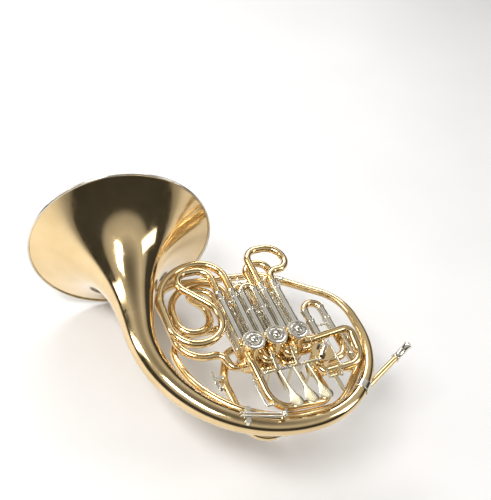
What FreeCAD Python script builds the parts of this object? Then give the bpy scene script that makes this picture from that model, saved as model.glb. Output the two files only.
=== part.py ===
"""Double French horn with rotary valves, in millimetres.

+X runs along the valve row towards the mouthpipe, +Y along the valve slides towards the bell's rim, and +Z out of
the valve caps. F-side tubing lies in front (+Z) and B-flat-side tubing behind it (-Z).
The exported origin is the centre of the mouthpiece receiver's mouth. Every number below is measured from where the
middle valve's axis crosses the horn's mid-plane, and export() moves the finished solids.
"""
import FreeCAD
import Part
import math
import os

Vector = FreeCAD.Vector
UP = Vector(0, 0, 1)
NODES = {}

# ---- driving dimensions -------------------------------------------------------------------------------------------
BORE = 5.95                 # radius of the cylindrical bore
TUBE = 6.4                  # outer radius of fixed tubing and of a slide's inner legs
RUNNING = 0.05              # radial clearance of a running fit
LEG = 6.9                   # outer radius of a slide's outer leg
SLEEVE_GAP = 0.03           # solder gap under a ferrule
LEG_OFFSET = 11.5           # a slide leg's distance from its valve's axis
F_LEVEL = 14.0              # height of the F-side tubing
B_LEVEL = -14.0             # height of the B-flat-side tubing

VALVE_SPACING = 38.0
CASING = 17.0               # outer radius of a valve casing
CHAMBER = 15.5              # radius of the hole the rotor turns in
STUB_END = 18.5             # how far a port stub reaches from the valve's axis
PORT = 10.9                 # how far a port lies from the axis, along both X and Y
MAIN_HALF = 28.0            # half the chamber's height in a main valve
CHANGE_HALF = 21.0          # the same in the change valve
CHANGE_AT = Vector(70, -35.5, -13)
CHANGE_LEVEL = 12.0         # its two passages lie this far above and below its middle

RIM_CENTRE = Vector(-165, 279, 0)
BELL_HEADING = 262.0        # direction of the bell's stem away from the rim, in degrees from +X
RIM_RADIUS = 155.5
CONE_START = 25.0           # outer radius that the slow cone would have at the rim
CONE_SLOPE = 0.0225         # what the cone loses in radius for each millimetre of path
FLARE_REACH = 58.0          # path length over which the flare falls to a third
FLARE_LENGTH = 175.0        # from the rim to the seam where the flare meets the tail
TAIL_END = 640.0            # path length from the rim to the tail's ferrule
BELL_WALL = 0.7
BOTTOM_Y = -141.5           # where the tail crosses the bottom of the horn

MAIN_SLIDE_X = (84.5, 114.5)
MAIN_SLIDE_Z = -3.0
B_SLIDE_X = 137.0
B_SLIDE_Z = (-12.0, -35.0)
PIPE_Z = -26.0              # height of the mouthpipe where it passes behind the tail
PIPE_Y = -132.0
PIPE_JOINT_X = -44.0
RECEIVER_BORE = 4.15        # straight socket for a mouthpiece's shank

HINGE_Y = -50.0             # the three finger levers turn on one rod
HINGE_Z = 15.0
BAR_Z = -47.0               # the levers' string bars run behind the valves
HUB = 5.5                   # radius of the hub that the string turns
THUMB_HINGE = Vector(72, -79, 6)
CRANK = 6.0                 # radius of the pin that turns the change valve
CRANK_ANGLE = 45.0          # where that pin stands at rest, from +X
LINK_Z = 34.0

VALVES = {1: VALVE_SPACING, 2: 0.0, 3: -VALVE_SPACING}
LEVER_ARM_X = {1: 33.0, 2: 9.0, 3: -15.5}
REAR_ARM_X = {2: 17.5, 3: -17.0}    # flat arms that run from the hinge towards the valves


# ---- general shapes -----------------------------------------------------------------------------------------------
def put(name, *solids):
    """Adds solids to a named node."""
    NODES.setdefault(name, []).extend(solids)


def cylinder(radius, start, end):
    along = end - start
    return Part.makeCylinder(radius, along.Length, start, along)


def ring(outer, inner, start, end):
    return cylinder(outer, start, end).cut(cylinder(inner, start, end))


def block(low, high):
    return Part.makeBox(high[0] - low[0], high[1] - low[1], high[2] - low[2], Vector(*low))


def path_edges(corners):
    """Straight lines through corners (x, y, z, bend radius), each inner corner rounded by a tangent arc."""
    points = [Vector(*corner[:3]) for corner in corners]
    edges = []
    last = points[0]
    for before, corner, after, spec in zip(points, points[1:], points[2:], corners[1:]):
        radius = spec[3]
        arriving = (corner - before).normalize()
        leaving = (after - corner).normalize()
        turn = arriving.getAngle(leaving)
        reach = radius * math.tan(turn / 2)
        inward = (leaving - arriving).normalize()
        first = corner - arriving * reach
        final = corner + leaving * reach
        middle = corner + inward * (radius / math.cos(turn / 2) - radius)
        if (first - last).Length > 1e-4:
            edges.append(Part.makeLine(last, first))
        edges.append(Part.Arc(first, middle, final).toShape())
        last = final
    if (points[-1] - last).Length > 1e-4:
        edges.append(Part.makeLine(last, points[-1]))
    return edges


def swept(corners, section_at):
    """One solid along a path with rounded corners: each straight is extruded and each bend is revolved."""
    pieces = []
    for edge in path_edges(corners):
        start = edge.valueAt(edge.FirstParameter)
        heading = edge.tangentAt(edge.FirstParameter)
        section = section_at(start, heading)
        if isinstance(edge.Curve, Part.Line):
            pieces.append(section.extrude(heading * edge.Length))
        else:
            centre = edge.Curve.Center
            axis = (start - centre).cross(heading)
            turn = math.degrees(edge.Length / edge.Curve.Radius)
            pieces.append(section.revolve(centre, axis, turn))
    return pieces[0].fuse(pieces[1:]) if len(pieces) > 1 else pieces[0]


def disc(radius, centre, heading):
    return Part.Face(Part.Wire(Part.makeCircle(radius, centre, heading)))


def rod(corners, radius):
    """A round rod along a path with rounded corners."""
    return swept(corners, lambda at, heading: disc(radius, at, heading))


def tube(corners, outer=TUBE, inner=BORE):
    """A hollow tube along a path with rounded corners."""
    return swept(corners, lambda at, heading: disc(outer, at, heading).cut(disc(inner, at, heading)).Faces[0])


def placed_circle(radius, centre, heading):
    """A circle whose seam always points towards +Z as nearly as it can, so that lofts don't twist."""
    along = Vector(heading).normalize()
    side = along.cross(UP).normalize()
    rotation = FreeCAD.Rotation(side, Vector(), along, "ZXY")
    wire = Part.Wire(Part.makeCircle(radius))
    wire.Placement = FreeCAD.Placement(centre, rotation)
    return wire


def stations(edges, start, end, step):
    """Points and headings along joined edges, from one path length to another."""
    count = max(2, int(round((end - start) / step)) + 1)
    wanted = [start + (end - start) * i / (count - 1) for i in range(count)]
    result = []
    for distance in wanted:
        left = distance
        for edge in edges:
            if left <= edge.Length + 1e-6 or edge is edges[-1]:
                place = edge.getParameterByLength(min(left, edge.Length))
                result.append((distance, edge.valueAt(place), edge.tangentAt(place)))
                break
            left -= edge.Length
    return result


def tapered(edges, start, end, radius_at, step=14.0):
    """A solid along joined edges whose radius follows radius_at(path length)."""
    rings = [placed_circle(radius_at(s), at, heading) for s, at, heading in stations(edges, start, end, step)]
    return Part.makeLoft(rings, True, False)


def ferrule(at, heading, length, outer=TUBE + 1.5, inner=TUBE + SLEEVE_GAP):
    """A sleeve with a raised bead at each end, centred on a joint between two tubes."""
    along = Vector(heading).normalize()
    start = at - along * (length / 2)
    end = at + along * (length / 2)
    bead = 1.6
    sleeve = cylinder(outer - 0.6, start, end)
    for edge in (start, end - along * bead):
        sleeve = sleeve.fuse(cylinder(outer, edge, edge + along * bead))
    return sleeve.cut(cylinder(inner, start - along, end + along))


# ---- bell, tail and branch ----------------------------------------------------------------------------------------
def bore_radius(s):
    """Outer radius of the expanding bore at path length s from the rim: a slow cone with a flare at its mouth."""
    cone = CONE_START - CONE_SLOPE * s
    flare = (RIM_RADIUS - CONE_START) * math.exp(-s / FLARE_REACH)
    return max(cone + flare, TUBE)


def stem_heading():
    heading = math.radians(BELL_HEADING)
    return Vector(math.cos(heading), math.sin(heading), 0)


def bell_path():
    stem = stem_heading()
    corner = RIM_CENTRE + stem * ((BOTTOM_Y - RIM_CENTRE.y) / stem.y)
    return path_edges([
        tuple(RIM_CENTRE),
        (corner.x, BOTTOM_Y, 0, 205),
        (158, BOTTOM_Y, 0, 145),
        (158, 62, 0, 110),
        (86, 150, -30),
    ])


def flare_solid(offset):
    """Solid of revolution under the flare's wall, moved inwards by offset, with its rim at z = 0."""
    rows = []
    count = 22
    for i in range(count):
        s = FLARE_LENGTH * (i / (count - 1)) ** 1.6
        slope = -(RIM_RADIUS - CONE_START) / FLARE_REACH * math.exp(-s / FLARE_REACH) - CONE_SLOPE
        length = math.hypot(1, slope)
        rows.append(Vector(bore_radius(s) - offset / length, 0, s + offset * slope / length))
    rows[0].z = 0
    rows[-1].z = FLARE_LENGTH
    curve = Part.BSplineCurve()
    curve.interpolate(rows)
    profile = Part.Wire([
        curve.toShape(),
        Part.makeLine(rows[-1], Vector(0, 0, FLARE_LENGTH)),
        Part.makeLine(Vector(0, 0, FLARE_LENGTH), Vector()),
        Part.makeLine(Vector(), rows[0]),
    ])
    return Part.Face(profile).revolve(Vector(), UP, 360)


def make_flare():
    """The flare, with its edge rolled over a wire."""
    bead_radius = 2.2
    wire_radius = 1.4
    sunk = 1.2
    ring_radius = RIM_RADIUS - sunk
    middle = Vector(0, 0, sunk)
    flare = flare_solid(0).cut(flare_solid(BELL_WALL))
    bead = Part.makeTorus(ring_radius, bead_radius, middle, UP)
    wire = Part.makeTorus(ring_radius, wire_radius, middle, UP)
    hollow = Part.makeTorus(ring_radius, wire_radius + RUNNING, middle, UP)
    flare = flare.fuse(bead).cut(hollow)
    turn = FreeCAD.Placement(RIM_CENTRE, FreeCAD.Rotation(UP, stem_heading()))
    for shape in (flare, wire):
        shape.Placement = turn
    put("bell_flare", flare)
    put("bell_rim_wire", wire)


def make_tail(edges):
    """Tail and first branch behind the flare. Returns where the branch ends and which way it points."""
    def inner(s):
        return bore_radius(s) - BELL_WALL

    tail = tapered(edges, FLARE_LENGTH, TAIL_END, bore_radius)
    put("bell_tail", tail.cut(tapered(edges, FLARE_LENGTH, TAIL_END, inner)))
    whole = sum(edge.Length for edge in edges)
    branch = tapered(edges, TAIL_END, whole, bore_radius)
    put("first_branch", branch.cut(tapered(edges, TAIL_END, whole, inner)))
    seam = stations(edges, TAIL_END, TAIL_END + 1, 1)[0]
    sleeve = 16.0
    bend_allowance = 0.3
    fit = bore_radius(TAIL_END - sleeve / 2 - 1) + bend_allowance
    put("ferrules", ferrule(seam[1], seam[2], sleeve, fit + 1.4, fit))
    last = edges[-1]
    at = last.valueAt(last.LastParameter)
    along = last.tangentAt(last.LastParameter)
    put("ferrules", ferrule(at, along, 14, TUBE + 1.5, TUBE + 0.15))
    return at, along


# ---- valves -------------------------------------------------------------------------------------------------------
def casing(centre, half, ports, linkage_side):
    """A casing with round-backed port stubs. Its closed end faces the linkage and carries the corks."""
    low = centre - UP * (half + 3)
    high = centre + UP * (half + 3)
    shell = cylinder(CASING, low, high)
    lips = [low, high - UP * 3]
    for lip in lips:
        shell = shell.fuse(cylinder(CASING + 0.8, lip, lip + UP * 3))
    for start, end in ports:
        shell = shell.fuse([cylinder(LEG, start, end), Part.makeSphere(LEG, start)])
    shell = shell.cut(cylinder(CHAMBER, centre - UP * half, centre + UP * half))
    open_end = centre - UP * (half * linkage_side)
    shell = shell.cut(cylinder(CHAMBER, open_end, open_end - UP * (3 * linkage_side)))
    closed = centre + UP * (half * linkage_side)
    shell = shell.cut(cylinder(5 + RUNNING, closed, closed + UP * (3 * linkage_side)))
    for start, end in ports:
        shell = shell.cut(cylinder(BORE, start, end))
    return shell


def rotor(centre, half, levels, linkage_side):
    """The rotor: a plug with two curved passages at each level, and a stem at each end."""
    clear = 0.1
    plug = cylinder(CHAMBER - RUNNING, centre - UP * (half - clear), centre + UP * (half - clear))
    arc_radius = 17.2
    arc_centre = 24.2
    for level in levels:
        for side in (1, -1):
            middle = Vector(centre.x, centre.y + side * arc_centre, level)
            plug = plug.cut(Part.makeTorus(arc_radius, BORE - 0.05, middle, UP))
    out = UP * linkage_side
    stem = cylinder(5, centre - out * (half + 2.8), centre + out * (half + 3.1))
    shaft = cylinder(2.5, centre + out * half, centre + out * (half + 20))
    return plug.fuse(stem).fuse(shaft)


def valve_cap(centre, half, linkage_side):
    """Screw cap with a rim, a sunk ring and a domed middle."""
    out = UP * -linkage_side
    base = centre + out * (half + 3)
    cap = cylinder(CASING + 0.3, base, base + out * 4.5)
    groove = ring(12.5, 6.5, base + out * 3.2, base + out * 4.5)
    cap = cap.cut(groove)
    dome = Part.makeSphere(6.2, base + out * 2.0)
    keep = cylinder(6.4, base + out * 2.0, base + out * 9)
    cap = cap.fuse(dome.common(keep))
    return cap.cut(cylinder(CASING - 2, base, base + out * 1.2))


def bearing_plate(centre, half, linkage_side):
    out = UP * -linkage_side
    start = centre + out * half
    return ring(CHAMBER - 0.02, 5 + RUNNING, start, start + out * 3)


def stop_parts(name, centre, half, linkage_side, arm_angle, sweep, extra=()):
    """Hub with its stop arm, and the screw that holds it on the shaft."""
    out = UP * linkage_side
    base = centre + out * (half + 5.2)
    hub = cylinder(HUB, base, base + out * 12.6)
    arm = Part.makeBox(11, 4, 2.2, Vector(0, -2, 0))
    arm.rotate(Vector(), UP, arm_angle)
    arm.translate(base if linkage_side > 0 else base - UP * 2.2)
    hub = hub.fuse([arm, *extra]).cut(cylinder(2.5, base, base + out * 13))
    put("stop_arm_" + name, hub)
    top = centre + out * (half + 20)
    screw = cylinder(3.4, top, top + out * 1.8)
    slot = Part.makeBox(8, 0.9, 1.0, Vector(-4, -0.45, -0.5))
    slot.translate(top + out * 1.8)
    put("stop_arm_" + name, screw.cut(slot))
    for angle in (arm_angle - math.copysign(25.5, sweep), arm_angle + sweep + math.copysign(25.5, sweep)):
        turn = math.radians(angle)
        at = centre + out * (half + 3.0) + Vector(10 * math.cos(turn), 10 * math.sin(turn), 0)
        put("stop_corks", cylinder(2.2, at, at + out * 4.6))


def crank_pin_at():
    """Where the change valve's crank pin stands at rest, in plan."""
    turn = math.radians(CRANK_ANGLE)
    return Vector(CHANGE_AT.x + CRANK * math.cos(turn), CHANGE_AT.y + CRANK * math.sin(turn), 0)


def crank(base):
    """Arm and upright pin that the thumb link pushes."""
    arm = Part.makeBox(CRANK + 2, 4, 2.2, Vector(0, -2, 0))
    arm.rotate(Vector(), UP, CRANK_ANGLE)
    arm.translate(base)
    pin = crank_pin_at()
    top = LINK_Z - 3.6
    return arm.fuse(cylinder(1.2, Vector(pin.x, pin.y, base.z), Vector(pin.x, pin.y, top)))


def main_ports(number):
    """Port lines of a main valve: two slide legs on +Y, and two neighbours' joints on -Y, at both levels."""
    centre = Vector(VALVES[number], 0, 0)
    lines = []
    for level in (F_LEVEL, B_LEVEL):
        for sign in (1, -1):
            leg_x = centre.x + sign * LEG_OFFSET
            lines.append((Vector(leg_x, 8, level), Vector(leg_x, STUB_END, level)))
            sideways = (number == 1 and sign > 0) or (number == 3 and sign < 0 and level < 0)
            if sideways:
                start = Vector(centre.x + sign * 8, -PORT, level)
                lines.append((start, Vector(centre.x + sign * STUB_END, -PORT, level)))
            else:
                lines.append((Vector(leg_x, -8, level), Vector(leg_x, -STUB_END, level)))
    return lines


def change_ports():
    at = CHANGE_AT
    upper = at.z + CHANGE_LEVEL
    lower = at.z - CHANGE_LEVEL
    lines = []
    for level in (upper, lower):
        lines.append((Vector(at.x + 8, at.y - PORT, level), Vector(at.x + STUB_END, at.y - PORT, level)))
        lines.append((Vector(at.x - PORT, at.y - 8, level), Vector(at.x - PORT, at.y - STUB_END, level)))
    return lines


def make_valves():
    for number, x in VALVES.items():
        centre = Vector(x, 0, 0)
        put("valve_casing_%d" % number, casing(centre, MAIN_HALF, main_ports(number), -1))
        put("rotor_%d" % number, rotor(centre, MAIN_HALF, (F_LEVEL, B_LEVEL), -1))
        put("bearing_plates", bearing_plate(centre, MAIN_HALF, -1))
        put("valve_caps", valve_cap(centre, MAIN_HALF, -1))
        stop_parts(str(number), centre, MAIN_HALF, -1, 180, 90)
    levels = (CHANGE_AT.z + CHANGE_LEVEL, CHANGE_AT.z - CHANGE_LEVEL)
    put("change_valve_casing", casing(CHANGE_AT, CHANGE_HALF, change_ports(), 1))
    put("change_rotor", rotor(CHANGE_AT, CHANGE_HALF, levels, 1))
    put("bearing_plates", bearing_plate(CHANGE_AT, CHANGE_HALF, 1))
    put("valve_caps", valve_cap(CHANGE_AT, CHANGE_HALF, 1))
    crank_base = CHANGE_AT + UP * (CHANGE_HALF + 12)
    stop_parts("change", CHANGE_AT, CHANGE_HALF, 1, 225, -90, [crank(crank_base)])
    elbow = 6.7
    for left, right in ((-VALVE_SPACING, 0), (0, VALVE_SPACING)):
        for level in (F_LEVEL, B_LEVEL):
            low_x = left + LEG_OFFSET
            high_x = right - LEG_OFFSET
            bottom = -STUB_END - 8.5
            put("valve_knuckles", tube([
                (low_x, -STUB_END, level),
                (low_x, bottom, level, elbow),
                (high_x, bottom, level, elbow),
                (high_x, -STUB_END, level),
            ]))
            middle = (low_x + high_x) / 2
            put("ferrules", ring(
                TUBE + 1.2,
                TUBE + SLEEVE_GAP,
                Vector(middle - 0.7, bottom, level),
                Vector(middle + 0.7, bottom, level),
            ))


# ---- valve slides -------------------------------------------------------------------------------------------------
def slide(name, legs, outer_end, inner_end, bow):
    """One slide: fixed outer legs with an end ring, moving inner legs, and the bow or crook that joins them."""
    hold = 5.0
    for x, z in legs:
        start = STUB_END
        put("outer_legs", ring(LEG, TUBE + RUNNING, Vector(x, start, z), Vector(x, outer_end, z)))
        put("slide_end_rings", ring(
            LEG + 0.95,
            LEG + SLEEVE_GAP,
            Vector(x, outer_end - 4, z),
            Vector(x, outer_end, z),
        ))
        put(name, ring(TUBE, BORE, Vector(x, start + hold, z), Vector(x, inner_end, z)))
    put(name, bow)


def pull_ring(centre, radius, tilt):
    loop = Part.makeTorus(radius, 1.0, Vector(), Vector(math.sin(tilt), 0, math.cos(tilt)))
    loop.translate(centre)
    return loop


def s_crook(legs_x, level, start, top, left, bottom, right, inner_top, knot_radius, outer_radii):
    """The third valve's crook: a large loop to the left and a small loop folded back inside it."""
    inner_x, outer_x = legs_x
    slant = (-0.62, 0.785)
    bend = Vector(right, bottom + outer_radii[3] + 18, level)
    run = (inner_top - bend.y) / slant[1]
    knot = (bend.x + slant[0] * run, inner_top)
    return tube([
        (outer_x, start, level),
        (outer_x, top, level, outer_radii[0]),
        (left, top, level, outer_radii[1]),
        (left, bottom, level, outer_radii[2]),
        (right, bottom, level, outer_radii[3]),
        (bend.x, bend.y, level, outer_radii[4]),
        (knot[0], knot[1], level, knot_radius),
        (inner_x, inner_top, level, 25),
        (inner_x, start, level),
    ])


def bulb(legs_x, level, start, top, right, neck, radii):
    """The first valve's crook: a bulb that swells to the right of its legs."""
    near, far = legs_x
    return tube([
        (near, start, level),
        (near, top, level, radii[0]),
        (right, top, level, radii[1]),
        (right, neck, level, radii[2]),
        (far, neck, level, radii[3]),
        (far, start, level),
    ])


def u_bow(legs_x, level, start):
    half = (legs_x[1] - legs_x[0]) / 2
    return tube([
        (legs_x[0], start, level),
        (legs_x[0], start + half + 0.02, level, half - 0.02),
        (legs_x[1], start + half + 0.02, level, half - 0.02),
        (legs_x[1], start, level),
    ])


def leg_pair(number):
    return VALVES[number] - LEG_OFFSET, VALVES[number] + LEG_OFFSET


def make_valve_slides():
    pair = leg_pair(3)
    crook = s_crook(pair, F_LEVEL, 112, 186, -148, 28, -64, 172, 21, (42, 78, 41, 42, 50))
    slide("slide_f3", [(x, F_LEVEL) for x in pair], 104, 112, crook)
    crook = s_crook(pair, B_LEVEL, 96, 166, -126, 69, -70, 152, 11, (38, 55, 27, 28, 34))
    slide("slide_b3", [(x, B_LEVEL) for x in pair], 88, 96, crook)

    pair = leg_pair(2)
    for name, level, bow_start in (("slide_f2", F_LEVEL, 108), ("slide_b2", B_LEVEL, 131)):
        ring_at = Vector(0, bow_start + LEG_OFFSET + TUBE + 8.4, level)
        bow = u_bow(pair, level, bow_start).fuse(pull_ring(ring_at, 9, 0.4))
        slide(name, [(x, level) for x in pair], 71, bow_start, bow)

    pair = leg_pair(1)
    bow = bulb(pair, F_LEVEL, 112, 193, 90, 141, (23, 29, 21, 16))
    slide("slide_f1", [(x, F_LEVEL) for x in pair], 104, 112, bow)
    bow = bulb(pair, B_LEVEL, 96, 186, 69, 148, (20, 21, 9, 9))
    slide("slide_b1", [(x, B_LEVEL) for x in pair], 88, 96, bow)


# ---- main run of tubing -------------------------------------------------------------------------------------------
def make_main_slide():
    """The main tuning slide stands to the right of the valves."""
    low, high = MAIN_SLIDE_X
    z = MAIN_SLIDE_Z
    for x in MAIN_SLIDE_X:
        put("outer_legs", ring(LEG, TUBE + RUNNING, Vector(x, 4, z), Vector(x, 34, z)))
        put("outer_legs", ferrule(Vector(x, 32, z), Vector(0, 1, 0), 4, LEG + 1, LEG + SLEEVE_GAP))
        put("slide_main", ring(TUBE, BORE, Vector(x, 8, z), Vector(x, 54, z)))
    put("slide_main", u_bow((low, high), z, 54))


def make_b_slide():
    """The B-flat tuning slide's legs lie one above the other at the horn's right-hand side."""
    upper, lower = B_SLIDE_Z
    half = (upper - lower) / 2
    x = B_SLIDE_X
    for z in B_SLIDE_Z:
        put("outer_legs", ring(LEG, TUBE + RUNNING, Vector(x, -40, z), Vector(x, -8, z)))
        put("outer_legs", ferrule(Vector(x, -10, z), Vector(0, 1, 0), 4, LEG + 0.9, LEG + SLEEVE_GAP))
        put("slide_b_tuning", ring(TUBE, BORE, Vector(x, -36, z), Vector(x, 2, z)))
    put("slide_b_tuning", tube([
        (x, 2, upper),
        (x, 2 + half + 0.02, upper, half - 0.02),
        (x, 2 + half + 0.02, lower, half - 0.02),
        (x, 2, lower),
    ]))


def make_leadpipe():
    corners = [
        (209, -60.5, -15),
        (60, PIPE_Y, PIPE_Z, 120),
        (PIPE_JOINT_X, PIPE_Y, PIPE_Z),
    ]
    edges = path_edges(corners)
    total = sum(edge.Length for edge in edges)

    def outside(s):
        return 4.9 + (TUBE - 4.9) * s / total

    def inside(s):
        return outside(s) - 0.5

    pipe = tapered(edges, 0, total, outside).cut(tapered(edges, 0, total, inside))
    put("leadpipe", pipe)
    start = edges[0].valueAt(edges[0].FirstParameter)
    heading = edges[0].tangentAt(edges[0].FirstParameter) * -1
    mouth = start + heading * 24
    body = cylinder(6.2, start - heading * 14, mouth)
    for place in (-14, 21):
        body = body.fuse(cylinder(7.2, start + heading * place, start + heading * (place + 3)))
    socket = cylinder(RECEIVER_BORE, start + heading * 2, mouth)
    body = body.cut(socket)
    body = body.cut(cylinder(5.2, start - heading * 14, start + heading * 2))
    put("mouthpiece_receiver", body)
    joint = Vector(PIPE_JOINT_X, PIPE_Y, PIPE_Z)
    put("ferrules", ferrule(joint, Vector(1, 0, 0), 14, TUBE + 1.5, TUBE + 0.1))
    put("leadpipe_extension", tube(extension_corners()))
    return mouth


def extension_corners():
    """Course of the tubing from the mouthpipe round to the main tuning slide."""
    return [
        (PIPE_JOINT_X, PIPE_Y, PIPE_Z),
        (-84, PIPE_Y, PIPE_Z, 34),
        (-88, -20, PIPE_Z, 40),
        (-60, 36, -36, 22),
        (MAIN_SLIDE_X[0], 36, -36, 12),
        (MAIN_SLIDE_X[0], -13, -36, 12),
        (MAIN_SLIDE_X[0], -13, MAIN_SLIDE_Z, 12),
        (MAIN_SLIDE_X[0], 4, MAIN_SLIDE_Z),
    ]


def make_branches(branch_end, branch_heading):
    at = CHANGE_AT
    upper = at.z + CHANGE_LEVEL
    lower = at.z - CHANGE_LEVEL
    left_port_y = -PORT
    valve_3_side = VALVES[3] - STUB_END
    valve_1_side = VALVES[1] + STUB_END
    put("second_branch", tube([
        tuple(branch_end),
        tuple(branch_end + branch_heading * 41) + (45,),
        (-140, 196, -34, 55),
        (-140, 110, -14, 80),
        (-140, 20, -14, 45),
        (-78, 20, -14, 18),
        (-70, left_port_y, B_LEVEL, 12),
        (valve_3_side, left_port_y, B_LEVEL),
    ]))
    put("change_inlet", tube([
        (MAIN_SLIDE_X[1], 4, MAIN_SLIDE_Z),
        (MAIN_SLIDE_X[1], at.y - PORT, upper, 24),
        (at.x + STUB_END, at.y - PORT, upper),
    ]))
    put("f_feed_tube", tube([
        (at.x - PORT, at.y - STUB_END, upper),
        (at.x - PORT, at.y - STUB_END - 12, upper, 9),
        (131, at.y - STUB_END - 12, 2, 26),
        (135, -4, 12, 13),
        (valve_1_side + 6, -PORT, F_LEVEL, 30),
        (valve_1_side, -PORT, F_LEVEL),
    ]))
    put("f_return_tube", tube([
        (VALVES[3] - LEG_OFFSET, -STUB_END, F_LEVEL),
        (VALVES[3] - LEG_OFFSET, -26, F_LEVEL, 16),
        (-43, -106, 0, 34),
        (at.x - PORT, -106, -16, 24),
        (at.x - PORT, -60, lower, 16),
        (at.x - PORT, at.y - STUB_END, lower),
    ]))
    put("b_slide_inlet", tube([
        (at.x + STUB_END, at.y - PORT, lower),
        (at.x + STUB_END + 12, at.y - PORT, lower, 20),
        (B_SLIDE_X, -60, B_SLIDE_Z[1], 12),
        (B_SLIDE_X, -40, B_SLIDE_Z[1]),
    ]))
    put("b_feed_tube", tube([
        (B_SLIDE_X, -40, B_SLIDE_Z[0]),
        (B_SLIDE_X, -56, -13, 33),
        (72, -116, -26, 68),
        (-147, -121, 8, 148),
        (-147, 80, -32, 45),
        (68, 80, -34, 12),
        (68, 46, -16, 21),
        (68, -PORT, B_LEVEL, 8),
        (valve_1_side, -PORT, B_LEVEL),
    ]))


# ---- finger levers and string linkage -----------------------------------------------------------------------------
def paddle_outline():
    """Half widths of a finger lever from its hinge tube out to the rounded end of its paddle."""
    half_widths = [(-3.0, 2.9), (-20, 2.5), (-38, 3.0), (-52, 6.6), (-64, 10.4)]
    right = [Vector(w, y, 0) for y, w in half_widths]
    left = [Vector(-w, y, 0) for y, w in reversed(half_widths)]
    side_a = Part.BSplineCurve()
    side_a.interpolate(right)
    side_b = Part.BSplineCurve()
    side_b.interpolate(left)
    end = Part.Arc(right[-1], Vector(0, -75, 0), left[0]).toShape()
    back = Part.makeLine(left[-1], right[0])
    return Part.Face(Part.Wire([side_a.toShape(), end, side_b.toShape(), back]))


def make_levers():
    slope = 8.0
    rod_ends = (-38.5, 57.0)
    hinge = cylinder(1.5, Vector(rod_ends[0], HINGE_Y, HINGE_Z), Vector(rod_ends[1], HINGE_Y, HINGE_Z))
    put("hinge_rods", hinge.fuse([Part.makeSphere(2.5, Vector(x, HINGE_Y, HINGE_Z)) for x in rod_ends]))
    for number, arm_x in LEVER_ARM_X.items():
        bar_x = VALVES[number] + HUB + 3.6
        low_x = min(arm_x, bar_x) - 4
        high_x = max(arm_x, bar_x, REAR_ARM_X.get(number, arm_x)) + 4
        barrel = cylinder(3.2, Vector(low_x, HINGE_Y, HINGE_Z), Vector(high_x, HINGE_Y, HINGE_Z))
        blade = paddle_outline().extrude(UP * 1.8)
        blade.rotate(Vector(), Vector(1, 0, 0), -slope)
        blade.translate(Vector(arm_x, HINGE_Y, HINGE_Z - 0.9))
        drop = block((bar_x - 1.5, HINGE_Y - 2, BAR_Z - 2), (bar_x + 1.5, HINGE_Y + 2, HINGE_Z))
        bar = block((bar_x - 1.5, HINGE_Y - 2, BAR_Z - 2), (bar_x + 1.5, 16, BAR_Z + 2))
        for y in (-12, 13):
            bar = bar.fuse(cylinder(1.3, Vector(bar_x - 2.6, y, BAR_Z), Vector(bar_x, y, BAR_Z)))
        lever = barrel.fuse([blade, drop, bar])
        if number in REAR_ARM_X:
            lever = lever.fuse(rear_arm(REAR_ARM_X[number]))
        bore = cylinder(1.5 + RUNNING, Vector(low_x - 1, HINGE_Y, HINGE_Z), Vector(high_x + 1, HINGE_Y, HINGE_Z))
        put("lever_%d" % number, lever.cut(bore))
        cord_x = VALVES[number] + HUB + 0.8
        strand = cylinder(0.6, Vector(cord_x, -11.0, BAR_Z + 2.8), Vector(cord_x, 11.0, BAR_Z + 2.8))
        put("cord_%d" % number, strand)
    make_lever_mount()


def rear_arm(x):
    """A flat arm that rises from the hinge tube towards the valves and passes over the knuckles."""
    arm = Part.makeBox(5, 31, 1.6, Vector(-2.5, 0, 0))
    arm.rotate(Vector(), Vector(1, 0, 0), 12.5)
    arm.translate(Vector(x, HINGE_Y, HINGE_Z + 2.6))
    return arm


def make_lever_mount():
    """Two posts that stand on the casings and hold the hinge rod, and the coil springs between the barrels."""
    rod_space = cylinder(1.5 + RUNNING, Vector(-60, HINGE_Y, HINGE_Z), Vector(70, HINGE_Y, HINGE_Z))
    for x, valve in ((-34.8, 3), (25.0, 1)):
        foot = block((x - 1.5, HINGE_Y - 3, -3), (x + 1.5, -4, 3))
        upright = block((x - 1.5, HINGE_Y - 3, -3), (x + 1.5, HINGE_Y + 3, HINGE_Z))
        eye = cylinder(3.2, Vector(x - 1.5, HINGE_Y, HINGE_Z), Vector(x + 1.5, HINGE_Y, HINGE_Z))
        around = cylinder(CASING + 0.8, Vector(VALVES[valve], 0, -40), Vector(VALVES[valve], 0, 40))
        put("lever_posts", foot.fuse([upright, eye]).cut(around).cut(rod_space))
    for start, end in ((-11.2, -4.0), (-2.6, 4.6), (51.3, 54.4)):
        put("lever_springs", coil(start, end))


def coil(start, end):
    """A torsion spring wound round the hinge rod, as close rings on a thin sleeve."""
    pitch = 1.5
    turns = int((end - start) / pitch)
    rings = [
        Part.makeTorus(2.4, 0.6, Vector(start + 0.7 + pitch * i, HINGE_Y, HINGE_Z), Vector(1, 0, 0))
        for i in range(turns)
    ]
    sleeve = ring(2.5, 1.7, Vector(start, HINGE_Y, HINGE_Z), Vector(start + pitch * turns, HINGE_Y, HINGE_Z))
    return sleeve.fuse(rings) if rings else sleeve


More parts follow.
